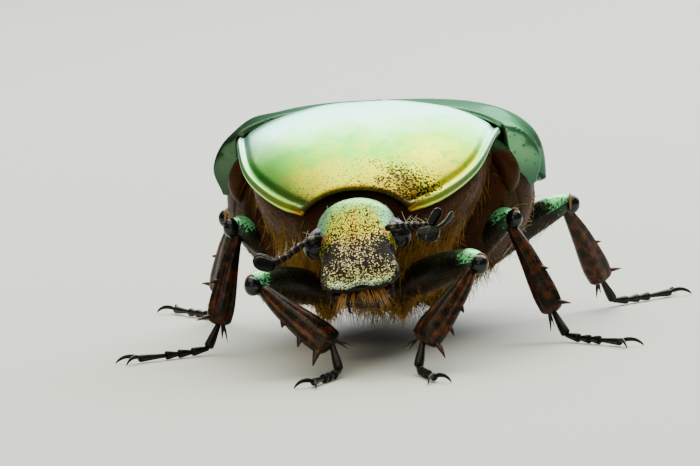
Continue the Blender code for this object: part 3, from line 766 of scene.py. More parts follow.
def feeler_stem(points):
    """Surfaces of a feeler's stem: a thick club-shaped first joint, then six beads to the end.

    points runs from the head to the end of the stem. Each bead swells towards its far end.
    """
    first = spline(points, np.linspace(0, SCAPE, 5))
    surfaces = [limb(first, [0.09, 0.11, 0.125, 0.13, 0.10], [0.09, 0.11, 0.12, 0.125, 0.09],
                     (0, 0, 1), 0.1, 0.2)]
    edges = np.linspace(SCAPE - 0.01, 1.0, 7)
    for k in range(6):
        run = spline(points, np.linspace(edges[k] - 0.015, edges[k + 1], 4))
        bulk = np.array([0.078, 0.092, 0.112, 0.098]) * (1.0 + 0.03 * k)
        surfaces.append(limb(run, bulk, bulk, (0, 0, 1), 0.15, 0.25))
    return surfaces


def leaf(points, broad, flat, across):
    """One leaf of a feeler's club: a paddle, narrow at its root and blunt at its tip."""
    wide = broad * np.array([0.45, 0.85, 1.0, 0.95, 0.72])
    thick = flat * np.array([0.9, 1.0, 1.0, 0.95, 0.8])
    return limb(points, wide, thick, across, 0.10, 0.16)


def make_feelers(finish):
    """Left feeler with its three leaves fanned, right feeler with its club closed."""
    for name, stem, club in (("left", LEFT_STEM, LEFT_CLUB), ("right", RIGHT_STEM, RIGHT_CLUB)):
        shapes = [closed(surface, 28, 22) for surface in feeler_stem(stem)]
        shapes += [closed(leaf(*row), 48, 40, mark=LEAF) for row in club]
        put(name + "_feeler", finish, "antenna", shapes, "antenna_" + name)


def palp(side, first, last, bulk):
    """Four small joints of a palp in a bowed line from first to last, the end one bent down."""
    bow = np.array([[0, 0, 0], [0.08, 0, 0.06], [0.06, 0, 0.07], [0, 0, 0]])
    joints = np.linspace(first, last, 4) + bow
    joints = np.concatenate([joints, joints[-1:] + np.array([[-0.02, -0.08, -0.20]])])
    surfaces = []
    for a, b, size in zip(joints, joints[1:], (0.8, 0.95, 1.05, 1.0)):
        run = turn_head(np.linspace(a, b, 3) * np.array([side, 1, 1]))
        sizes = bulk * size * np.array([0.65, 1.0, 0.85])
        surfaces.append(limb(run, sizes, sizes, (0, 0, 1), 0.15, 0.2))
    return surfaces


def make_mouth(finish):
    """Lip, jaws, chin and the four palps under the clypeus."""
    lip = limb(turn_head([(-0.62, 0.44, 2.74), (0.0, 0.34, 2.72), (0.62, 0.44, 2.74)]),
               [0.26, 0.30, 0.26], [0.10, 0.11, 0.10], (0, 1, 0), 0.2, 0.2)
    jaws = ball(turn_head((0, 1.10, 2.42)), (0.84, 0.76, 0.30))
    chin = limb(turn_head([(0, 0.50, 2.42), (0, 0.9, 2.22), (0, 1.5, 2.16), (0, 2.2, 2.35)]),
                [0.36, 0.60, 0.70, 0.6], [0.10, 0.16, 0.22, 0.2], (1, 0, 0), 0.15, 0.15)
    shapes = [closed(lip, 40, 40, mark=LIP), closed(jaws, 64, 40), closed(chin, 56, 40)]
    for side in (-1, 1):
        for first, last, bulk in (((0.62, 0.95, 2.46), (0.93, 0.26, 2.56), 0.075),
                                  ((0.32, 0.62, 2.20), (0.46, 0.20, 2.20), 0.05)):
            shapes += [closed(joint, 20, 16, mark=LIP) for joint in palp(side, first, last, bulk)]
    put("lips_and_palps", finish, "mouth", shapes, "mouthparts")


def body_section(y, half, heights, centre, close, powers, u):
    """A point of the trunk's section: a flat-topped upper half and a rounder lower half.

    heights are those of the top, the widest place and the bottom. Width and heights shrink
    about the centre by close, so that the ends of a length of trunk are round.
    """
    top, middle, bottom = (centre + (height - centre) * close for height in heights)
    up, out = np.sin(u * TAU), np.cos(u * TAU)
    power = np.where(up > 0, 2 / powers[0], 2 / powers[1])
    x = half * close * power_of(out, power)
    z = middle + np.where(up > 0, top - middle, middle - bottom) * power_of(up, power)
    return np.stack([x, y, z], axis=-1)


def forebody_surface(u, v):
    """The forebody under the shield: its sides start just under the shield's rim."""
    u, v = alike(u, v)
    y = 2.95 + 4.60 * v
    place = np.clip((y - COLLAR[0]) / (BASE_MIDDLE[0] - COLLAR[0]), 0, 1)
    edge = shield_surface(np.ones_like(place), place)
    crown = shield_surface(np.zeros_like(place), place)
    top = crown[..., 2] - SHELL - 0.10
    middle = edge[..., 2] - 0.34
    bottom = 2.50 - 0.45 * smoothstep((y - 3.2) / 2.0) + 0.35 * bell(y, 3.1, 0.5)
    close = round_end(v / 0.10) * round_end((1 - v) / 0.10)
    heights = (top, middle, bottom)
    return body_section(y, edge[..., 0] - 0.30, heights, (top + bottom) / 2, close, (1.9, 1.75), u)


def trunk_section(y):
    """Half width, top, widest height and bottom of the trunk behind the shield."""
    v = np.clip((y - 8.5) / 6.5, 0, 1)
    half = elytra_half(v) - SHELL - 0.18
    half = half - 1.0 * np.clip((8.9 - y) / 1.7, 0, 1) ** 1.5
    half = half - 0.9 * smoothstep((y - 14.2) / 2.4) ** 1.4
    top = elytra_crest(y) - SHELL - 0.2 - 0.25 * smoothstep((y - 14.6) / 1.8)
    middle = MARGIN_HEIGHT - 0.35 - 0.55 * v**2
    bottom = 1.05 + 0.75 * np.clip((8.6 - y) / 1.4, 0, 1) ** 1.6
    bottom = bottom + 1.35 * np.clip((y - 12.5) / 3.7, 0, 1) ** 2.4
    return half, top, middle, bottom


def grooves(points):
    """How deep the midbody's seams cut: between its plates at the side and down its middle.

    Each is a bell of the distance from a slanting or level line, faded out at its ends.
    """
    x, y, z = np.abs(points[..., 0]), points[..., 1], points[..., 2]
    front_seam = bell(y, 8.40 - 0.25 * (z - 3.0), 0.05) * smoothstep((x - 1.2) / 0.5)
    side_seam = bell(z, 3.15 + 0.10 * (y - 9.0), 0.05)
    side_seam = side_seam * smoothstep((y - 8.4) / 0.2) * smoothstep((x - 2.0) / 0.5)
    hip_seam = bell(y, 10.75 - 0.10 * x, 0.05) * smoothstep((3.2 - z) / 0.3)
    middle_seam = bell(x, 0.0, 0.06) * smoothstep((y - 8.3) / 0.4) * smoothstep((10.7 - y) / 0.3)
    return GROOVE_DEPTH * (front_seam + side_seam + hip_seam + middle_seam * (z < 3.0))


def trunk_surface(front, back, powers, blunt, inset=0.0, steps=(), seams=None):
    """A length of the trunk with rounded ends; each of the steps is a ring edge that stands out.

    A ring swells by about 0.08 up to its rear edge and drops back there. blunt is the shares
    of the length over which the ends close as quarter ellipses, inset is how far the whole
    lies inside the trunk's section, and seams gives the depth of cuts in it.
    """

    def surface(u, v):
        u, v = alike(u, v)
        y = front + (back - front) * v
        half, top, middle, bottom = trunk_section(y)
        swell = 0 * y - inset
        for low, high in zip(steps, steps[1:]):
            inside = (y >= low) & (y < high)
            share = (y - low) / (high - low)
            swell = swell + inside * RING_STEP * (share - 1.0 + smoothstep((1 - share) / 0.10) - 0.5)
        close = round_end(v / blunt[0]) * round_end((1 - v) / blunt[1])
        centre = (top + bottom) / 2
        heights = (top, middle, bottom - swell)
        points = body_section(y, half + swell, heights, centre, close, powers, u)
        if seams is None:
            return points
        out = points - np.stack([0 * y, y, centre], axis=-1)
        return points - unit(out) * seams(points)[..., None]

    return surface


MIDBODY = trunk_surface(7.10, 11.80, (3.0, 1.8), (0.08, 0.03), seams=grooves)
RINGS = (11.3, 12.2, 13.05, 13.85, 14.6, 15.3, 16.25)
HIND_BODY = trunk_surface(11.0, 16.78, (3.0, 1.9), (0.04, 0.07), 0.06, RINGS)


def make_trunk(finish):
    """Forebody, midbody with its shoulder plates and breast knob, and the ringed hind body."""
    put("forebody", finish, "underside", [closed(forebody_surface, 180, 90, 0.4)], "prothorax")
    knob = ball((0, 7.42, 1.80), (0.50, 0.62, 0.46))
    shapes = [closed(MIDBODY, 320, 130, 0.3), closed(knob, 48, 32, 0.2)]
    for side in (-1, 1):
        line = np.array([(3.1, 7.5, 6.6), (3.9, 7.55, 6.22), (4.35, 7.62, 5.5), (4.3, 7.8, 4.7)])
        shoulder = limb(line * (side, 1, 1), [0.35, 0.42, 0.42, 0.25], [0.25, 0.32, 0.36, 0.3],
                        (0, 1, 0), 0.25, 0.3)
        shapes.append(closed(shoulder, 48, 40, mark=SHOULDER))
    put("midbody", finish, "underside", shapes, "thorax")
    put("hind_body", finish, "underside", [closed(HIND_BODY, 180, 200, 0.2)], "abdomen")


def leg_axes(place):
    """Hip, knee, ankle, the way down the shin and the way its toothed edge faces."""
    hip, knee, ankle = (np.array(LEGS[place][k]) for k in range(3))
    down = unit(ankle - knee)
    facing = np.array([math.copysign(1.0, knee[0]), -0.25, 0.0]) if "front" in place else knee - hip
    return hip, knee, ankle, down, unit(facing - down * (facing @ down))


def hip_surface(place):
    """The ball of a hip."""
    return ball(LEGS[place][0], np.array(PAIRS[place.split("_")[0]][0]) * 0.98)


def thigh_surface(place):
    """A thigh: flattened, swollen before the middle, bowed a little and round at the knee."""
    hip, knee = leg_axes(place)[:2]
    bow = np.array([0, 0, 0.12])
    points = [hip, hip + (knee - hip) * 0.3 + bow * 0.7, hip + (knee - hip) * 0.65 + bow,
              knee + unit(knee - hip) * 0.32]
    wide = [0.34, 0.50, 0.56, 0.53, 0.46, 0.37]
    thick = [0.34, 0.40, 0.43, 0.41, 0.37, 0.32]
    return limb(points, wide, thick, (0, 0, 1), 0.08, 0.13)


def shin_surface(place):
    """A shin: narrow at the knee and broad at the end, and flat.

    A blunt ridge runs down the middle of each face, with a shallow furrow on either side.
    """
    knee, ankle, down, outer = leg_axes(place)[1:]
    breadth = PAIRS[place.split("_")[0]][2]
    start = knee + down * SHIN_START
    points = [start, start + (ankle - start) * 0.33 + outer * 0.05,
              start + (ankle - start) * 0.66 + outer * 0.03, ankle + down * 0.06]
    wide = np.array([0.17, 0.27, 0.36, 0.43, 0.50, 0.54, 0.48]) * breadth
    thick = np.array([0.17, 0.20, 0.22, 0.24, 0.25, 0.26, 0.22])
    smooth = limb(points, wide, thick, outer, 0.05, 0.06, 0.9)

    def surface(u, v):
        u, v = alike(u, v)
        base = smooth(u, v)
        ridge = 0.05 * (bell(u % 1.0, 0.5, 0.035) + bell((u + 0.5) % 1.0, 0.5, 0.035))
        ridge = ridge - 0.03 * bell(np.abs((u * 2) % 1.0 - 0.5), 0.32, 0.06)
        ridge = ridge * smoothstep(v / 0.15) * smoothstep((1 - v) / 0.1)
        return base + unit(base - spline(points, v)) * ridge[..., None]

    return surface


def spike(root, direction, length, radius, flat=0.6):
    """A tooth or spur: a cone that bows a little and ends in a point."""
    direction = unit(direction)
    hook = unit(np.cross(np.cross(direction, (0, 0, 1)), direction)) * length * -0.06
    points = [root - direction * radius, root + direction * length * 0.45 - hook * 0.5,
              root + direction * length]
    size = np.array([1.0, 0.78, 0.42, 0.10]) * radius
    return limb(points, size, size * flat, np.cross(direction, (0.1, 0.2, 1)), 0.1, 0.1)


def knee_skin(knob, outward_way, front):
    """The joint skin that shows round a knee's knob: a thin arc from above it to its outer side."""
    first = unit(outward_way - front * (outward_way @ front))
    second = np.array([0, 0, 1.0])
    turns = np.radians(np.linspace(-35, 105, 7))[:, None]
    points = knob - front * 0.04 + 0.29 * np.cos(turns) * first + 0.33 * np.sin(turns) * second
    return limb(points, [0.015, 0.04, 0.05, 0.04, 0.015], [0.02, 0.05, 0.06, 0.05, 0.02], front, 0.1, 0.1)


def foot_line(place):
    """Points of a foot's joints: from the ankle down to the ground, then along it."""
    ankle, down = leg_axes(place)[2:4]
    way = unit((*LEGS[place][3], 0.0))
    length = LEGS[place][4]
    landing = ankle + down * 0.46
    landing = np.array([landing[0], landing[1], SOLE + 0.06]) + way * 0.30
    end = landing + way * (length - 0.75)
    drop = np.array([0, 0, SOLE - landing[2]])
    line = [ankle + down * 0.05]
    for share in (0.0, 0.24, 0.43, 0.61, 1.0):
        line.append(landing + (end - landing) * share + drop * min(share * 4, 1))
    return np.array(line), way


def claw(end, way, side):
    """One claw: a tapered hook that spreads, rises and bends down to the ground."""
    across = np.cross(way, (0, 0, 1)) * side
    reach = ((-0.10, 0.03, 0.02), (0.12, 0.12, 0.08), (0.34, 0.24, 0.07), (0.52, 0.33, -0.02),
             (0.62, 0.37, -0.13))
    points = [end + way * a + across * b + np.array([0, 0, c]) for a, b, c in reach]
    wide = [0.055, 0.07, 0.06, 0.04, 0.012]
    return limb(points, wide, [0.045, 0.055, 0.045, 0.03, 0.010], (0, 0, 1), 0.08, 0.08)


def thigh_shapes(place):
    """A hip ball, a nub that joins it to the thigh, and the thigh."""
    hip, knee = leg_axes(place)[:2]
    nub = limb([hip, hip + (knee - hip) * 0.12, hip + (knee - hip) * 0.22], [0.36, 0.40, 0.30],
               [0.34, 0.36, 0.28], (0, 0, 1), 0.2, 0.3)
    return [closed(thigh_surface(place), 80, 90, 0.5, THIGH), closed(hip_surface(place), 48, 32, 0.2),
            closed(nub, 40, 24)]


def shin_shapes(place):
    """A shin with the knee's knob and joint skin, teeth on its outer edge and two end spurs."""
    hip, knee, ankle, down, outer = leg_axes(place)
    teeth, breadth = PAIRS[place.split("_")[0]][1:]
    front = unit(np.array([knee[0] - hip[0], knee[1] - hip[1] - 0.8, 0.0]))
    knob = knee + unit(knee - hip) * 0.11 + front * 0.17 + down * 0.13
    outside = np.array([math.copysign(1.0, knee[0]), 0.0, 0.0])
    shapes = [closed(shin_surface(place), 64, 110, 0.4, SHIN),
              closed(ball(knob, (0.27, 0.27, 0.31)), 48, 32, 0.2, KNOB),
              closed(knee_skin(knob, outside, front), 24, 40, mark=SKIN)]
    start = knee + down * SHIN_START
    for k, share in enumerate(teeth):
        root = start + (ankle - start) * share + outer * (0.30 + 0.14 * share) * breadth
        tooth = spike(root, outer + down * 0.55, 0.30 + 0.16 * k, 0.16)
        shapes.append(closed(tooth, 24, 24, mark=SHIN))
    for turn, reach in ((0.5, 0.62), (0.15, 0.48)):
        spur = spike(ankle - outer * 0.2 * breadth, down - outer * turn, reach, 0.075)
        shapes.append(closed(spur, 16, 20, mark=SHIN))
    return shapes


def foot_shapes(place):
    """A foot of five joints, each swollen towards its end, and two claws."""
    line, way = foot_line(place)
    shapes = []
    for k, (a, b) in enumerate(zip(line, line[1:])):
        bulk = np.array([0.075, 0.10, 0.13, 0.15]) if k < 4 else np.array([0.07, 0.085, 0.11, 0.13])
        bulk = bulk * (1.0 if k else 1.15)
        joint = limb(np.linspace(a - (b - a) * 0.06, b, 4), bulk, np.minimum(bulk, SOLE - 0.01),
                     (0, 0, 1), 0.08, 0.12)
        shapes.append(closed(joint, 32, 26, mark=FOOT))
    for side in (-1, 1):
        shapes.append(closed(claw(line[-1], way, side), 20, 30, mark=FOOT))
    return shapes


def make_legs(finish):
    """Six legs, each of a thigh with its hip, a shin and a foot."""
    for place in LEGS:
        put(place + "_thigh", finish, "leg", thigh_shapes(place), "femur_" + place)
        put(place + "_shin", finish, "leg", shin_shapes(place), "tibia_" + place)
        put(place + "_foot", finish, "leg", foot_shapes(place), "tarsus_" + place)


def on_surface(surface, u, v):
    """Points of a surface with their outward normals and the way along it, by small steps."""
    step = 1e-3
    across = surface(u + step, v) - surface(u - step, v)
    along = surface(u, np.minimum(v + step, 1)) - surface(u, np.maximum(v - step, 0))
    return surface(u, v), unit(np.cross(across, along)), unit(along)


def hairs(roots, directions, sag, lengths, radii, plan):
    """Thin closed cones, each bent as root + direction s + sag s², that taper to a point."""
    count = len(roots)
    s = np.linspace(0, 1, HAIR_RINGS)
    lengths = lengths[:, None, None]
    centre = roots[:, None] + (directions[:, None] * s[:, None] + sag[:, None] * s[:, None] ** 2) * lengths
    side = unit(np.cross(directions, np.array([0.31, 0.52, 0.79])))
    other = np.cross(unit(directions), side)
    turns = np.arange(HAIR_SIDES) / HAIR_SIDES * TAU
    ring = side[:, None] * np.cos(turns)[:, None] + other[:, None] * np.sin(turns)[:, None]
    taper = (1 - 0.8 * s[:-1] ** 1.5)[:, None, None]
    body = centre[:, :-1, None] + ring[:, None] * taper * radii[:, None, None, None]
    points = np.concatenate([body.reshape(count, -1, 3), centre[:, -1:]], axis=1)
    each = points.shape[1]
    tip, low = each - 1, (HAIR_RINGS - 2) * HAIR_SIDES
    sides = range(HAIR_SIDES)
    tris = np.array([[0, 2, 1]] + [[low + k, low + (k + 1) % HAIR_SIDES, tip] for k in sides])
    middle = points[0].mean(axis=0)
    quads, tris = outward(points[0] - middle, tube_faces(HAIR_RINGS - 1, HAIR_SIDES), tris)
    offsets = (np.arange(count) * each)[:, None, None]
    up = np.repeat(s[:-1], HAIR_SIDES)
    spot = np.stack([np.tile(np.arange(HAIR_SIDES) / 2 - 0.5, HAIR_RINGS - 1), up - 0.5], axis=-1)
    spot = np.concatenate([spot, [[0.0, 0.5]]]) * PATCH
    return {
        "points": points.reshape(-1, 3),
        "quads": (quads[None] + offsets).reshape(-1, 4),
        "tris": (tris[None] + offsets).reshape(-1, 3),
        "mark": np.zeros(count * each),
        "round": np.repeat(np.random.default_rng(count).uniform(0, 1, count), each),
        "along": np.tile(np.concatenate([up, [1.0]]), count),
        "plan": (np.clip(plan, 0.002, 0.998)[:, None] + spot).reshape(-1, 2),
    }


def coat(surface, count, seed, tile, region, length, radius, lean, flow=None, jitter=0.25, sag=0.25):
    """Hairs that grow from a surface.

    Roots are drawn evenly over the region (u low, u high, v low, v high). Each hair starts
    between the outward normal and the flow by the share lean, strays by jitter, and sags along
    the flow and down. tile is the corner and size of its share of the coat's flat plan.
    """
    draw = np.random.default_rng(seed)
    u = draw.uniform(region[0], region[1], count)
    v = draw.uniform(region[2], region[3], count)
    roots, normal, along = on_surface(surface, u, v)
    if flow is None:
        flow = along
    else:
        flow = np.broadcast_to(unit(flow(roots) if callable(flow) else flow), along.shape)
    way = unit(normal * (1 - lean) + flow * lean + draw.normal(0, jitter, (count, 3)))
    bend = flow * sag + np.array([0, 0, -0.35]) * sag
    lengths = length * draw.uniform(0.55, 1.15, count)
    radii = radius * draw.uniform(0.8, 1.2, count)
    plan = np.array(tile[:2]) + np.stack([(u % 1.0), v], axis=-1) * tile[2]
    return hairs(roots - way * radius, way, bend, lengths, radii, plan)


def make_fur(gold):
    """The fur of the underside, the longer fur of the breast and front hips, and that of the legs."""
    lower = [
        (forebody_surface, 4800, 11, (0.0, 0.0, 0.32), (0.50, 1.0, 0.06, 0.88), 0.62, 0.011, 0.45,
         (0, -0.5, -0.8)),
        (MIDBODY, 4800, 12, (0.34, 0.0, 0.32), (0.50, 1.0, 0.04, 0.96), 0.60, 0.012, 0.6),
        (HIND_BODY, 1500, 13, (0.68, 0.0, 0.3), (0.50, 1.0, 0.05, 0.9), 0.40, 0.010, 0.8),
    ]
    breast = [
        (forebody_surface, 3600, 14, (0.0, 0.34, 0.32), (0.56, 0.94, 0.02, 0.42), 1.10, 0.010, 0.62,
         (0, -0.25, -1.0), 0.22, 0.10),
        (MIDBODY, 1800, 15, (0.34, 0.34, 0.32), (0.60, 0.90, 0.02, 0.40), 0.80, 0.010, 0.6,
         (0, -0.2, -1.0), 0.22, 0.10),
    ]
    for k, place in enumerate(("front_left", "front_right")):
        breast.append((hip_surface(place), 700, 16 + k, (0.68, 0.34 * k, 0.3), (0.0, 1.0, 0.45, 0.98),
                       0.50, 0.010, 0.55, (0, -0.3, -1.0), 0.22, 0.10))
    legs = []
    for k, place in enumerate(LEGS):
        legs.append((thigh_surface(place), 650, 20 + k, (0.16 * k, 0.0, 0.15), (0.55, 0.95, 0.12, 0.86),
                     0.42, 0.010, 0.35, (0, 0, -1)))
        legs.append((shin_surface(place), 240, 30 + k, (0.16 * k, 0.2, 0.15), (0.0, 1.0, 0.12, 0.95),
                     0.18, 0.007, 0.55))
    for name, slot, rows in (("underside_fur", "underside", lower), ("breast_fur", "underside", breast),
                             ("leg_fur", "leg", legs)):
        put(name, gold, slot, [coat(*row) for row in rows])


def make_bristles(pale):
    """Long and short bristles on the feelers' joints, and those of the clypeus and the crown's sides."""
    rows = []
    for k, stem in enumerate((LEFT_STEM, RIGHT_STEM)):
        for j, surface in enumerate(feeler_stem(stem)):
            rows.append((surface, 4, 150 + 10 * k + j, (0.12 * j, 0.25 + 0.12 * k, 0.11),
                         (0.1, 0.4, 0.4, 0.9), 0.40, 0.007, 0.5, (0, -0.2, 1.0), 0.22, 0.1))
            rows.append((surface, 22, 50 + 10 * k + j, (0.12 * j, 0.12 * k, 0.11), (0.05, 0.45, 0.5, 0.85),
                         0.15, 0.006, 0.35, None, 0.2, 0.1))
    rows.append((head_surface, 260, 80, (0.0, 0.5, 0.3), (0.0, 1.0, 0.04, 0.5), 0.10, 0.006, 0.3))
    for k, low in enumerate((0.05, 0.35)):
        rows.append((head_surface, 34, 81 + k, (0.34 + 0.33 * k, 0.5, 0.3), (low, low + 0.10, 0.72, 0.90),
                     0.30, 0.010, 0.35, (0, -0.3, 1.0), 0.25, 0.1))
    put("head_bristles", pale, "face", [coat(*row) for row in rows])


def fan(roots):
    """The brush's way: down and a little forward, and outward with the distance from its middle."""
    x = roots[:, 0]
    return np.stack([(x - 0.22) * 0.85, -0.25 + 0 * x, -1 + 0 * x], axis=-1)


def make_brush(orange):
    """The orange brush of the jaws, short and thin in its middle and long at both sides."""
    jaws = limb(turn_head([(-0.70, 0.44, 2.64), (0.0, 0.34, 2.60), (0.70, 0.44, 2.64)]), [0.12] * 3,
                [0.08] * 3, (0, 1, 0), 0.1, 0.1)
    shapes = []
    for count, seed, corner, low, high, length, radius in (
            (34, 90, 0.0, 0.03, 0.34, 0.66, 0.0075), (26, 91, 0.34, 0.34, 0.62, 0.40, 0.0070),
            (40, 92, 0.68, 0.60, 0.97, 0.66, 0.0080)):
        shapes.append(coat(jaws, count, seed, (corner, 0.0, 0.3), (0.0, 1.0, low, high), length, radius,
                           0.88, fan, 0.13, 0.12))
    put("mouth_brush", orange, "mouth", shapes)


def shield_finish():
    """Metallic green: mint at the base, then green, yellow-green and gold towards the collar.

    The palest mint at the base is partly the green's own colour and partly a painted reflection of
    the sky. Painted light makes the gold reach further back, and a bright yellow show, on the
    animal's left, and painted shade darkens the sides, most on its right, and the collar's edge.
    Pits crowd in a copper patch at the front corner on the animal's left and are few elsewhere,
    and the rim's bead has its own colours.
    """
    recipe = Recipe("shield_green", Coat_Roughness=0.12, Coat_IOR=1.5, Specular_Tint=(0.80, 1.0, 0.90, 1.0))
    along, side, x = recipe.value_of("along"), abs(recipe.value_of("round")), recipe.axis("X")
    level = along + 0.02 + (recipe.noise(1.0, 3.0) - 0.5) * 0.26
    # Painted light: where more light falls, on the animal's left and low on its right front, the level drops
    # so that the gold reaches further back.
    level = level - x.rise(0.8, 2.8) * 0.17 - x.hump(-1.7, 1.4) * along.rise(0.30, 0.12) * 0.05
    # The palest mint stops, towards the base, are partly the green's own colour and partly a painted
    # reflection of the sky.
    green = recipe.ramp(level, (0.0, (0.28, 0.20, 0.0)), (0.08, (0.54, 0.47, 0.0)), (0.17, (0.52, 0.56, 0.0)),
                        (0.29, (0.26, 0.54, 0.0)), (0.42, (0.18, 0.60, 0.04)), (0.56, (0.34, 0.84, 0.30)),
                        (0.72, (0.52, 0.96, 0.78)))
    cloud = recipe.noise(0.40, 3.0, distortion=0.6)
    # Painted shade: the shield's sides turn dark green, most on the animal's right and at its rear corner
    # there.
    painted_side_shade = (side + (cloud - 0.5) * 0.2).rise(0.60, 0.88) * along.rise(0.62, 0.34)
    painted_side_shade = painted_side_shade * (0.03 + 0.75 * x.rise(0.5, -2.2))
    painted_side_shade = painted_side_shade + along.rise(0.70, 0.96) * x.rise(-1.6, -3.4) * 0.45
    rim = side.rise(0.945, 0.965)
    bead = recipe.ramp(along, (0.02, (0.34, 0.18, 0.01)), (0.10, (0.48, 0.60, 0.04)),
                       (0.5, (0.34, 0.70, 0.26)), (0.8, (0.50, 0.86, 0.62)))
    patch = (x * 0.22 + recipe.noise(0.7)).rise(0.36, 0.86) * along.rise(0.40, 0.14)
    few = along.rise(0.40, 0.05) * 0.8
    size = 0.12 + (patch + few) * 0.24
    dot = recipe.pits(0.082, size * 0.75, size * 1.3)
    fine = recipe.pits(0.052, size * 0.7, size * 1.3)
    colour = recipe.paint(
        green,
        # Painted light: bright yellow on the lit left side.
        (x.rise(0.9, 2.7) * along.hump(0.28, 0.38) * 0.75, (0.98, 0.92, 0.0)),
        (cloud.rise(0.50, 0.64) * along.rise(0.60, 0.30) * 0.6, (0.50, 0.54, 0.0)),
        (cloud.rise(0.49, 0.34) * along.hump(0.34, 0.40) * 0.6, (0.10, 0.50, 0.04)),
        (painted_side_shade, (0.02, 0.16, 0.05)),
        (patch * along.rise(0.24, 0.02) * 0.70, (0.30, 0.115, 0.004)),
        (dot * (few + patch * 0.75), (0.016, 0.014, 0.002)),
        (fine * patch * 0.6, (0.030, 0.018, 0.002)),
        (rim, bead),
        # Painted shade: dark brown along the collar's edge, where the shield overhangs the head.
        (along.fall(0.004, 0.035) * (1.0 - rim) * 0.9, (0.030, 0.014, 0.004)),
        recipe.inner_face(),
    )
    relief = recipe.bump(dot * -1.0, 0.006, 0.5)
    return recipe.finish(Base_Color=colour, Metallic=0.96, Roughness=0.32, Coat_Weight=0.03, Normal=relief)


# White marks as ovals: two coordinates, half length, half width and turn.
WING_MARKS = (
    (4.15, 12.1, 0.50, 0.10, 0.35), (4.45, 13.1, 0.36, 0.09, -0.1), (3.15, 12.75, 0.42, 0.07, 0.15),
    (1.75, 13.35, 0.34, 0.06, -0.15), (3.55, 13.95, 0.46, 0.08, 0.30), (2.35, 14.45, 0.50, 0.06, 0.10),
    (0.95, 14.70, 0.24, 0.06, 0.0), (3.55, 15.0, 0.26, 0.08, 0.5), (1.45, 15.85, 0.40, 0.06, 0.20),
    (2.75, 15.95, 0.22, 0.06, -0.3), (4.85, 12.5, 0.10, 0.16, 0.2), (0.75, 16.6, 0.16, 0.06, 0.3),
)
TAIL_MARKS = ((0.62, 3.20, 0.16, 0.09, 0.3), (1.80, 3.20, 0.28, 0.08, 0.15), (1.05, 2.45, 0.13, 0.08, -0.3))
CHALK = (0.80, 0.78, 0.70)


def wing_case_finish():
    """Metallic green scattered with pits, with white cross marks behind; painted shade darkens the sides and
    the front of the animal's right case, and a painted sky reflection greys the top of the front.
    """
    recipe = Recipe("wing_case_green", Coat_Roughness=0.1, Coat_IOR=1.5,
                    Specular_Tint=(0.30, 0.42, 0.36, 1.0))
    x, y, z = (recipe.axis(letter) for letter in "XYZ")
    green = recipe.ramp(recipe.noise(1.8), (0.3, (0.10, 0.28, 0.12)), (0.55, (0.16, 0.38, 0.19)),
                        (0.75, (0.26, 0.40, 0.11)))
    dot = recipe.pits(0.24, 0.10, 0.26)
    scratch = recipe.noise(0.12, 3.0, (0.25, 3.0, 1.0)).rise(0.60, 0.72)
    chalk = recipe.blots(recipe.plane(abs(x), y, 0.36, 0.15), WING_MARKS).fall(0.70, 0.95)
    colour = recipe.paint(
        green,
        # Painted shade: dark teal low on the sides.
        (z.rise(6.5, 5.0) * 0.85, (0.030, 0.072, 0.050)),
        # Painted reflection of the sky: paler grey-green on the top of the front.
        (y.rise(11.5, 8.0) * z.rise(6.6, 7.5) * 0.7, (0.13, 0.28, 0.18)),
        # Painted shade: a darker front on the animal's right.
        (x.rise(-1.2, -4.2) * y.rise(11.0, 8.5) * 0.75, (0.030, 0.030, 0.020)),
        (dot * 0.5 + scratch * 0.12, (0.01, 0.08, 0.03)),
        (chalk, CHALK),
        recipe.inner_face(),
    )
    relief = recipe.bump(dot * -1.0 + chalk * 0.4, 0.02, 0.6)
    return recipe.finish(Base_Color=colour, Metallic=0.92 - chalk * 0.92, Roughness=0.32 + chalk * 0.4,
                         Coat_Weight=0.08 - chalk * 0.08, Normal=relief)


def tail_finish():
    """Metallic green to copper, wrinkled across, with three pairs of white spots."""
    recipe = Recipe("tail_green", Coat_Roughness=0.15, Coat_IOR=1.5)
    green = recipe.ramp(recipe.noise(0.7, 3.0), (0.35, (0.03, 0.15, 0.06)), (0.52, (0.07, 0.17, 0.04)),
                        (0.68, (0.18, 0.10, 0.03)))
    wrinkle = recipe.noise(0.14, 3.0, (0.5, 1.0, 2.5))
    dot = recipe.pits(0.13, 0.12, 0.30)
    spots = recipe.plane(abs(recipe.axis("X")), recipe.axis("Z"), 0.26, 0.14)
    chalk = recipe.blots(spots, TAIL_MARKS).fall(0.85, 1.05)
    colour = recipe.paint(green, (dot * 0.6, (0.01, 0.05, 0.02)),
                          (wrinkle.rise(0.56, 0.40) * 0.4, (0.02, 0.07, 0.03)), (chalk, CHALK))
    relief = recipe.bump(wrinkle - dot, 0.02, 0.6)
    return recipe.finish(Base_Color=colour, Metallic=0.9 - chalk * 0.9, Roughness=0.34 + chalk * 0.35,
                         Coat_Weight=0.08, Normal=relief)


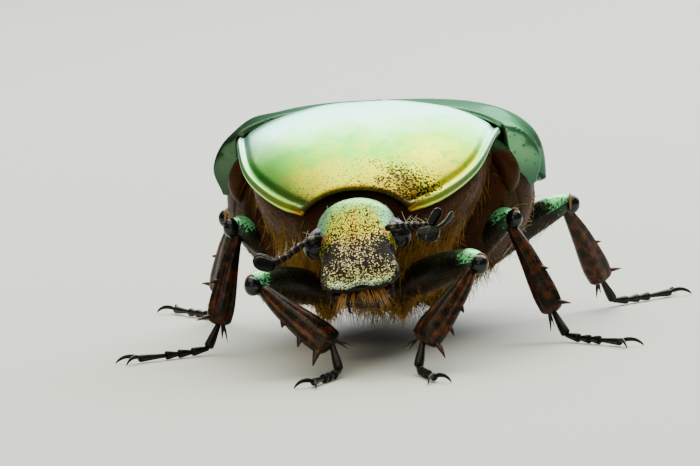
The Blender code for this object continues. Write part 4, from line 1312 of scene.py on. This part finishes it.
def face_finish():
    """The head: mint crown, yellow brow with a gold stripe, dark clypeus speckled with pale.

    The metal's colours show between dark pits, which cover more of it further forward, and less
    again at the clypeus edge; the pale specks are partly the metal's own colour and partly painted
    glints on the pits' rims. The neck is near black, its dark skin and painted shade under the
    shield's collar. A red spot lies at the base of each feeler.
    """
    recipe = Recipe("face_bronze", Specular_IOR_Level=0.12)
    along, x = recipe.value_of("along"), recipe.axis("X")
    middle = x + along * 0.42 - 0.34
    side = abs(middle)
    level = along + (recipe.noise(0.35, 3.0) - 0.5) * 0.10
    level = level + side.rise(0.64, 1.02) * along.rise(0.45, 0.66) * 0.24
    # The pale cream stops, where the pits crowd, are partly the metal's colour and partly painted glints on
    # the pits' rims.
    metal = recipe.ramp(level, (0.04, (0.44, 0.60, 0.34)), (0.12, (0.54, 0.54, 0.14)),
                        (0.28, (0.84, 0.70, 0.44)), (0.42, (0.84, 0.66, 0.26)), (0.56, (0.84, 0.74, 0.04)),
                        (0.72, (0.70, 0.80, 0.06)), (0.84, (0.40, 0.90, 0.26)), (0.96, (0.40, 0.98, 0.48)))
    stripe = middle.hump(0.0, 0.22) * along.rise(0.36, 0.50) * along.fall(0.72, 0.78)
    metal = recipe.mix(stripe * 0.5, metal, (0.90, 0.44, 0.0))
    tint = recipe.cells(0.032, "Color")
    chance, shade = (recipe.node("ShaderNodeSeparateColor", None, {0: tint}, output=k) for k in (0, 1))
    metal = recipe.mix(shade * 0.65, metal, recipe.mix(0.7, metal, (0.02, 0.02, 0.01)))
    stops = ((0.02, 0.36), (0.06, 0.56), (0.12, 0.78), (0.24, 0.82), (0.40, 0.76), (0.54, 0.55),
             (0.72, 0.40), (0.84, 0.12))
    cover = recipe.ramp(level, *((place, (grey,) * 3) for place, grey in stops))
    cover = cover + side.rise(0.35, 0.75) * along.hump(0.42, 0.28) * 0.26
    dot = (chance - cover).rise(0.04, -0.04)
    colour = recipe.mix(dot, metal, (0.010, 0.006, 0.003))
    for socket in (LEFT_STEM[0], RIGHT_STEM[0]):
        away = recipe.length(recipe.place(socket))
        colour = recipe.mix(away.fall(0.11, 0.21) * 0.8, colour, (0.50, 0.10, 0.09))
    below = abs(recipe.value_of("round") - 0.25).rise(0.198, 0.216) * along.rise(0.55, 0.45)
    edge = below.maths("MAXIMUM", along.fall(0.020, 0.031), below)
    colour = recipe.paint(colour, (edge, (0.010, 0.007, 0.012)), (recipe.part(LEDGE), (0.20, 0.16, 0.25)),
                          # The neck: near black, its dark skin and painted shade under the shield's collar.
                          (recipe.value_of("mark").rise(1.5, 1.9), (0.010, 0.008, 0.007)))
    relief = recipe.bump(recipe.cells(0.032), 0.008, 0.8)
    return recipe.finish(Base_Color=colour, Metallic=0.75 - dot * 0.70, Roughness=0.34 + dot * 0.12,
                         Normal=relief)


def eye_finish():
    """Glossy black with faint facets."""
    recipe = Recipe("eye_black", Coat_Roughness=0.05, Specular_IOR_Level=0.12)
    relief = recipe.bump(recipe.cells(0.028, jitter=0.4), 0.002, 0.35)
    shade = recipe.mix(recipe.noise(0.3), (0.003, 0.003, 0.004), (0.010, 0.009, 0.010))
    return recipe.finish(Base_Color=shade, Roughness=0.16, Coat_Weight=0.18, Normal=relief)


def feeler_finish():
    """Black and pitted, with painted highlights: pale glints on top of the joints' ends and on the leaves'
    edges.
    """
    recipe = Recipe("feeler_black", Coat_Roughness=0.15, Specular_IOR_Level=0.07)
    along, round_, mark = (recipe.value_of(name) for name in ("along", "round", "mark"))
    dot = recipe.pits(0.05, 0.12, 0.35)
    upper = abs(round_ - 0.25).fall(0.06, 0.20)
    # Painted highlights: pale glints on the upper side of each joint's far end and on the leaves' edges,
    # broken into patches.
    ring = along.hump(0.78, 0.24) * (1.0 - mark) * (0.08 + upper * 0.9)
    rim = abs(abs(round_ - 0.5) - 0.25).fall(0.02, 0.07) * mark
    glint_patches = recipe.noise(0.06, 2.0).rise(0.35, 0.60)
    colour = recipe.mix(dot, (0.004, 0.004, 0.003), (0.001, 0.001, 0.001))
    colour = recipe.mix((ring + rim * 0.5) * glint_patches, colour, (0.66, 0.57, 0.48))
    relief = recipe.bump(dot * -1.0, 0.012, 0.7)
    return recipe.finish(Base_Color=colour, Roughness=0.36 - mark * 0.08, Coat_Weight=0.05 + mark * 0.05,
                         Normal=relief)


def mouth_finish():
    """Brown-black jaws and chin, with dark red lip and palps."""
    recipe = Recipe("mouth_brown", Coat_Roughness=0.2, Specular_IOR_Level=0.12)
    mark = recipe.value_of("mark")
    colour = recipe.mix(recipe.noise(0.3), (0.008, 0.004, 0.002), (0.022, 0.009, 0.003))
    colour = recipe.mix(mark, colour, (0.010, 0.004, 0.005))
    relief = recipe.bump(recipe.noise(0.06), 0.01, 0.5)
    return recipe.finish(Base_Color=colour, Roughness=0.4, Coat_Weight=0.04 + mark * 0.08, Normal=relief)


def underside_finish():
    """Coppery brown with small pits, and green on top of the shoulder plates."""
    recipe = Recipe("underside_copper", Specular_IOR_Level=0.08)
    brown = recipe.ramp(recipe.noise(1.2), (0.30, (0.016, 0.005, 0.001)), (0.55, (0.040, 0.011, 0.001)),
                        (0.75, (0.022, 0.016, 0.002)))
    dot = recipe.pits(0.16, 0.12, 0.34)
    plate_top = recipe.part(SHOULDER) * recipe.axis("Z").rise(6.05, 6.45)
    colour = recipe.paint(brown, (dot * 0.7, (0.008, 0.004, 0.003)), (plate_top * 0.8, (0.03, 0.14, 0.06)))
    relief = recipe.bump(dot * -1.0, 0.02, 0.7)
    return recipe.finish(Base_Color=colour, Metallic=0.2, Roughness=0.42, Normal=relief)


def leg_finish():
    """Black-brown with copper glints on the shins, and a black knob and tan skin at the joint.

    The thigh's knee end is emerald with bright mint flecks, painted highlights that crowd on its top, and
    green specks lead up to it on top.
    """
    recipe = Recipe("leg_black", Coat_Roughness=0.15, Specular_IOR_Level=0.2)
    along, upper = recipe.value_of("along"), recipe.value_of("round").hump(0.25, 0.46)
    skin, knob = recipe.part(SKIN), recipe.part(KNOB)
    black = recipe.ramp(recipe.noise(0.5, 3.0), (0.35, (0.005, 0.005, 0.003)), (0.60, (0.014, 0.009, 0.005)),
                        (0.78, (0.008, 0.022, 0.008)))
    copper = recipe.noise(0.3, 4.0).rise(0.42, 0.75) * recipe.part(SHIN)
    near_knee = along + upper * 0.05 + (recipe.noise(0.3) - 0.5) * 0.16
    knee = recipe.part(THIGH) * near_knee.rise(0.84, 0.95)
    # Painted highlights: bright mint flecks on the knee end, more of them on its top.
    painted_glint_flecks = recipe.noise(0.065, 3.0).rise(0.62 - upper * knee * 0.40, 0.72 - upper * knee * 0.36)
    emerald = recipe.mix(painted_glint_flecks, (0.010, 0.090, 0.036), (0.24, 0.86, 0.36))
    specks = recipe.noise(0.05, 2.0).rise(0.62, 0.68) * along.rise(0.40, 0.75) * upper
    dot = recipe.pits(0.11, 0.10, 0.30)
    colour = recipe.paint(
        black,
        (copper * 0.6, (0.15, 0.034, 0.006)),
        (knee * (0.4 + 0.6 * painted_glint_flecks), emerald),
        (specks * recipe.part(THIGH) * (1.0 - knee) * 0.6, (0.12, 0.30, 0.10)),
        (dot * 0.7, (0.008, 0.007, 0.006)),
        (knob, (0.006, 0.006, 0.007)),
        (skin, (0.24, 0.11, 0.045)),
    )
    relief = recipe.bump(dot * -1.0, 0.018, 0.7)
    return recipe.finish(Base_Color=colour, Metallic=0.5 - skin * 0.5, Roughness=0.34 - knob * 0.16,
                         Coat_Weight=0.06 + knob * 0.3, Normal=relief)


def hair_finish(name, root, tip):
    """Horny hair, darker at the root, each hair a little different."""
    recipe = Recipe(name, Specular_IOR_Level=0.2)
    dark = tuple(0.6 * c for c in root)
    colour = recipe.mix(recipe.value_of("along"), root, tip)
    colour = recipe.mix(recipe.value_of("round") * 0.5, colour, dark)
    return recipe.finish(Base_Color=colour, Roughness=0.5)


def make_floor():
    """A plain pale floor."""
    recipe = Recipe("pale_floor")
    shade = recipe.mix(recipe.noise(60.0), (0.60, 0.58, 0.55), (0.64, 0.62, 0.59))
    corners = np.array([(-1, -1), (1, -1), (1, 1), (-1, 1)]) * 3.0
    mesh = bpy.data.meshes.new("floor")
    mesh.from_pydata([(x, y, 0.0) for x, y in corners], [], [(0, 1, 2, 3)])
    mesh.materials.append(recipe.finish(Base_Color=shade, Roughness=0.85))
    floor = bpy.data.objects.new("floor", mesh)
    bpy.context.scene.collection.objects.link(floor)


# The camera, fitted to the photograph: what it looks at, how far off, how high and how far round,
# its roll, the photograph's pixels to a millimetre at the aim, and where the aim is in it.
AIM = np.array([0.0, 2.0, 4.5])
CAMERA_DISTANCE = 186.0
CAMERA_HEIGHT = math.radians(6.0)
CAMERA_ROUND = math.radians(7.27)
CAMERA_ROLL = math.radians(2.95)
SCALE = 32.08
IMAGE = (700, 466)
AIM_PIXEL = (353.75, 225.06)
SENSOR = 36.0


def make_camera():
    """The camera: off from the aim, up and round it by two angles, and rolled about its line.

    The aim's place in the photograph is off the middle, so the camera looks past it by that.
    """
    level = math.cos(CAMERA_HEIGHT)
    back = np.array([math.sin(CAMERA_ROUND) * level, -math.cos(CAMERA_ROUND) * level,
                     math.sin(CAMERA_HEIGHT)])
    right = unit(np.cross(-back, (0, 0, 1)))
    up = np.cross(back, right)
    turned_right = right * math.cos(CAMERA_ROLL) - up * math.sin(CAMERA_ROLL)
    turned_up = right * math.sin(CAMERA_ROLL) + up * math.cos(CAMERA_ROLL)
    eye = AIM + back * CAMERA_DISTANCE
    past_right, past_up = IMAGE[0] / 2 - AIM_PIXEL[0], AIM_PIXEL[1] - IMAGE[1] / 2
    offset = (turned_right * past_right + turned_up * past_up) / SCALE
    look_back = unit(eye - AIM - offset)
    side = unit(turned_right - look_back * (turned_right @ look_back))
    above = np.cross(look_back, side)
    camera = bpy.data.cameras.new("camera")
    camera.lens = SCALE * CAMERA_DISTANCE / IMAGE[0] * SENSOR
    camera.sensor_width = SENSOR
    camera.clip_start = 0.005
    camera.clip_end = 20.0
    holder = bpy.data.objects.new("camera", camera)
    bpy.context.scene.collection.objects.link(holder)
    columns = (side, above, look_back, (eye - SHIFT) * MM)
    holder.matrix_world = Matrix([[column[k] for column in columns] for k in range(3)] + [[0, 0, 0, 1]])
    bpy.context.scene.camera = holder


# Each lamp's name, place in metres, size, power and colour; all shine towards the frame's origin.
LAMPS = (
    ("back_light", (0.03, 0.14, 0.17), 0.30, 1.25, (0.90, 1.0, 1.0)),
    ("top_light", (-0.01, -0.02, 0.19), 0.32, 0.66, (1.0, 0.97, 0.72)),
    ("fill_light", (-0.03, -0.20, 0.08), 0.10, 0.05, (1.0, 0.97, 0.92)),
)


def make_lights():
    """Soft studio light: a broad light above and behind, one overhead, and a fill from the front."""
    world = bpy.data.worlds.new("studio")
    world.use_nodes = True
    background = world.node_tree.nodes["Background"].inputs
    background["Color"].default_value = (0.80, 0.86, 0.90, 1.0)
    background["Strength"].default_value = 0.17
    bpy.context.scene.world = world
    for name, place, size, power, colour in LAMPS:
        light = bpy.data.lights.new(name, "AREA")
        light.shape = "DISK"
        light.size = size
        light.energy = power
        light.color = colour
        lamp = bpy.data.objects.new(name, light)
        lamp.location = place
        lamp.rotation_euler = Vector(place).to_track_quat("Z", "Y").to_euler()
        bpy.context.scene.collection.objects.link(lamp)


def main():
    """Make the camera, the light and every piece of the animal."""
    make_camera()
    make_lights()
    make_floor()
    make_back(shield_finish(), wing_case_finish(), tail_finish())
    make_head(face_finish(), eye_finish())
    make_feelers(feeler_finish())
    make_mouth(mouth_finish())
    make_trunk(underside_finish())
    make_legs(leg_finish())
    make_fur(hair_finish("golden_hair", (0.16, 0.065, 0.004), (0.52, 0.29, 0.035)))
    make_bristles(hair_finish("pale_hair", (0.45, 0.38, 0.28), (0.85, 0.80, 0.68)))
    make_brush(hair_finish("orange_bristle", (0.50, 0.19, 0.02), (1.0, 0.62, 0.20)))


main()
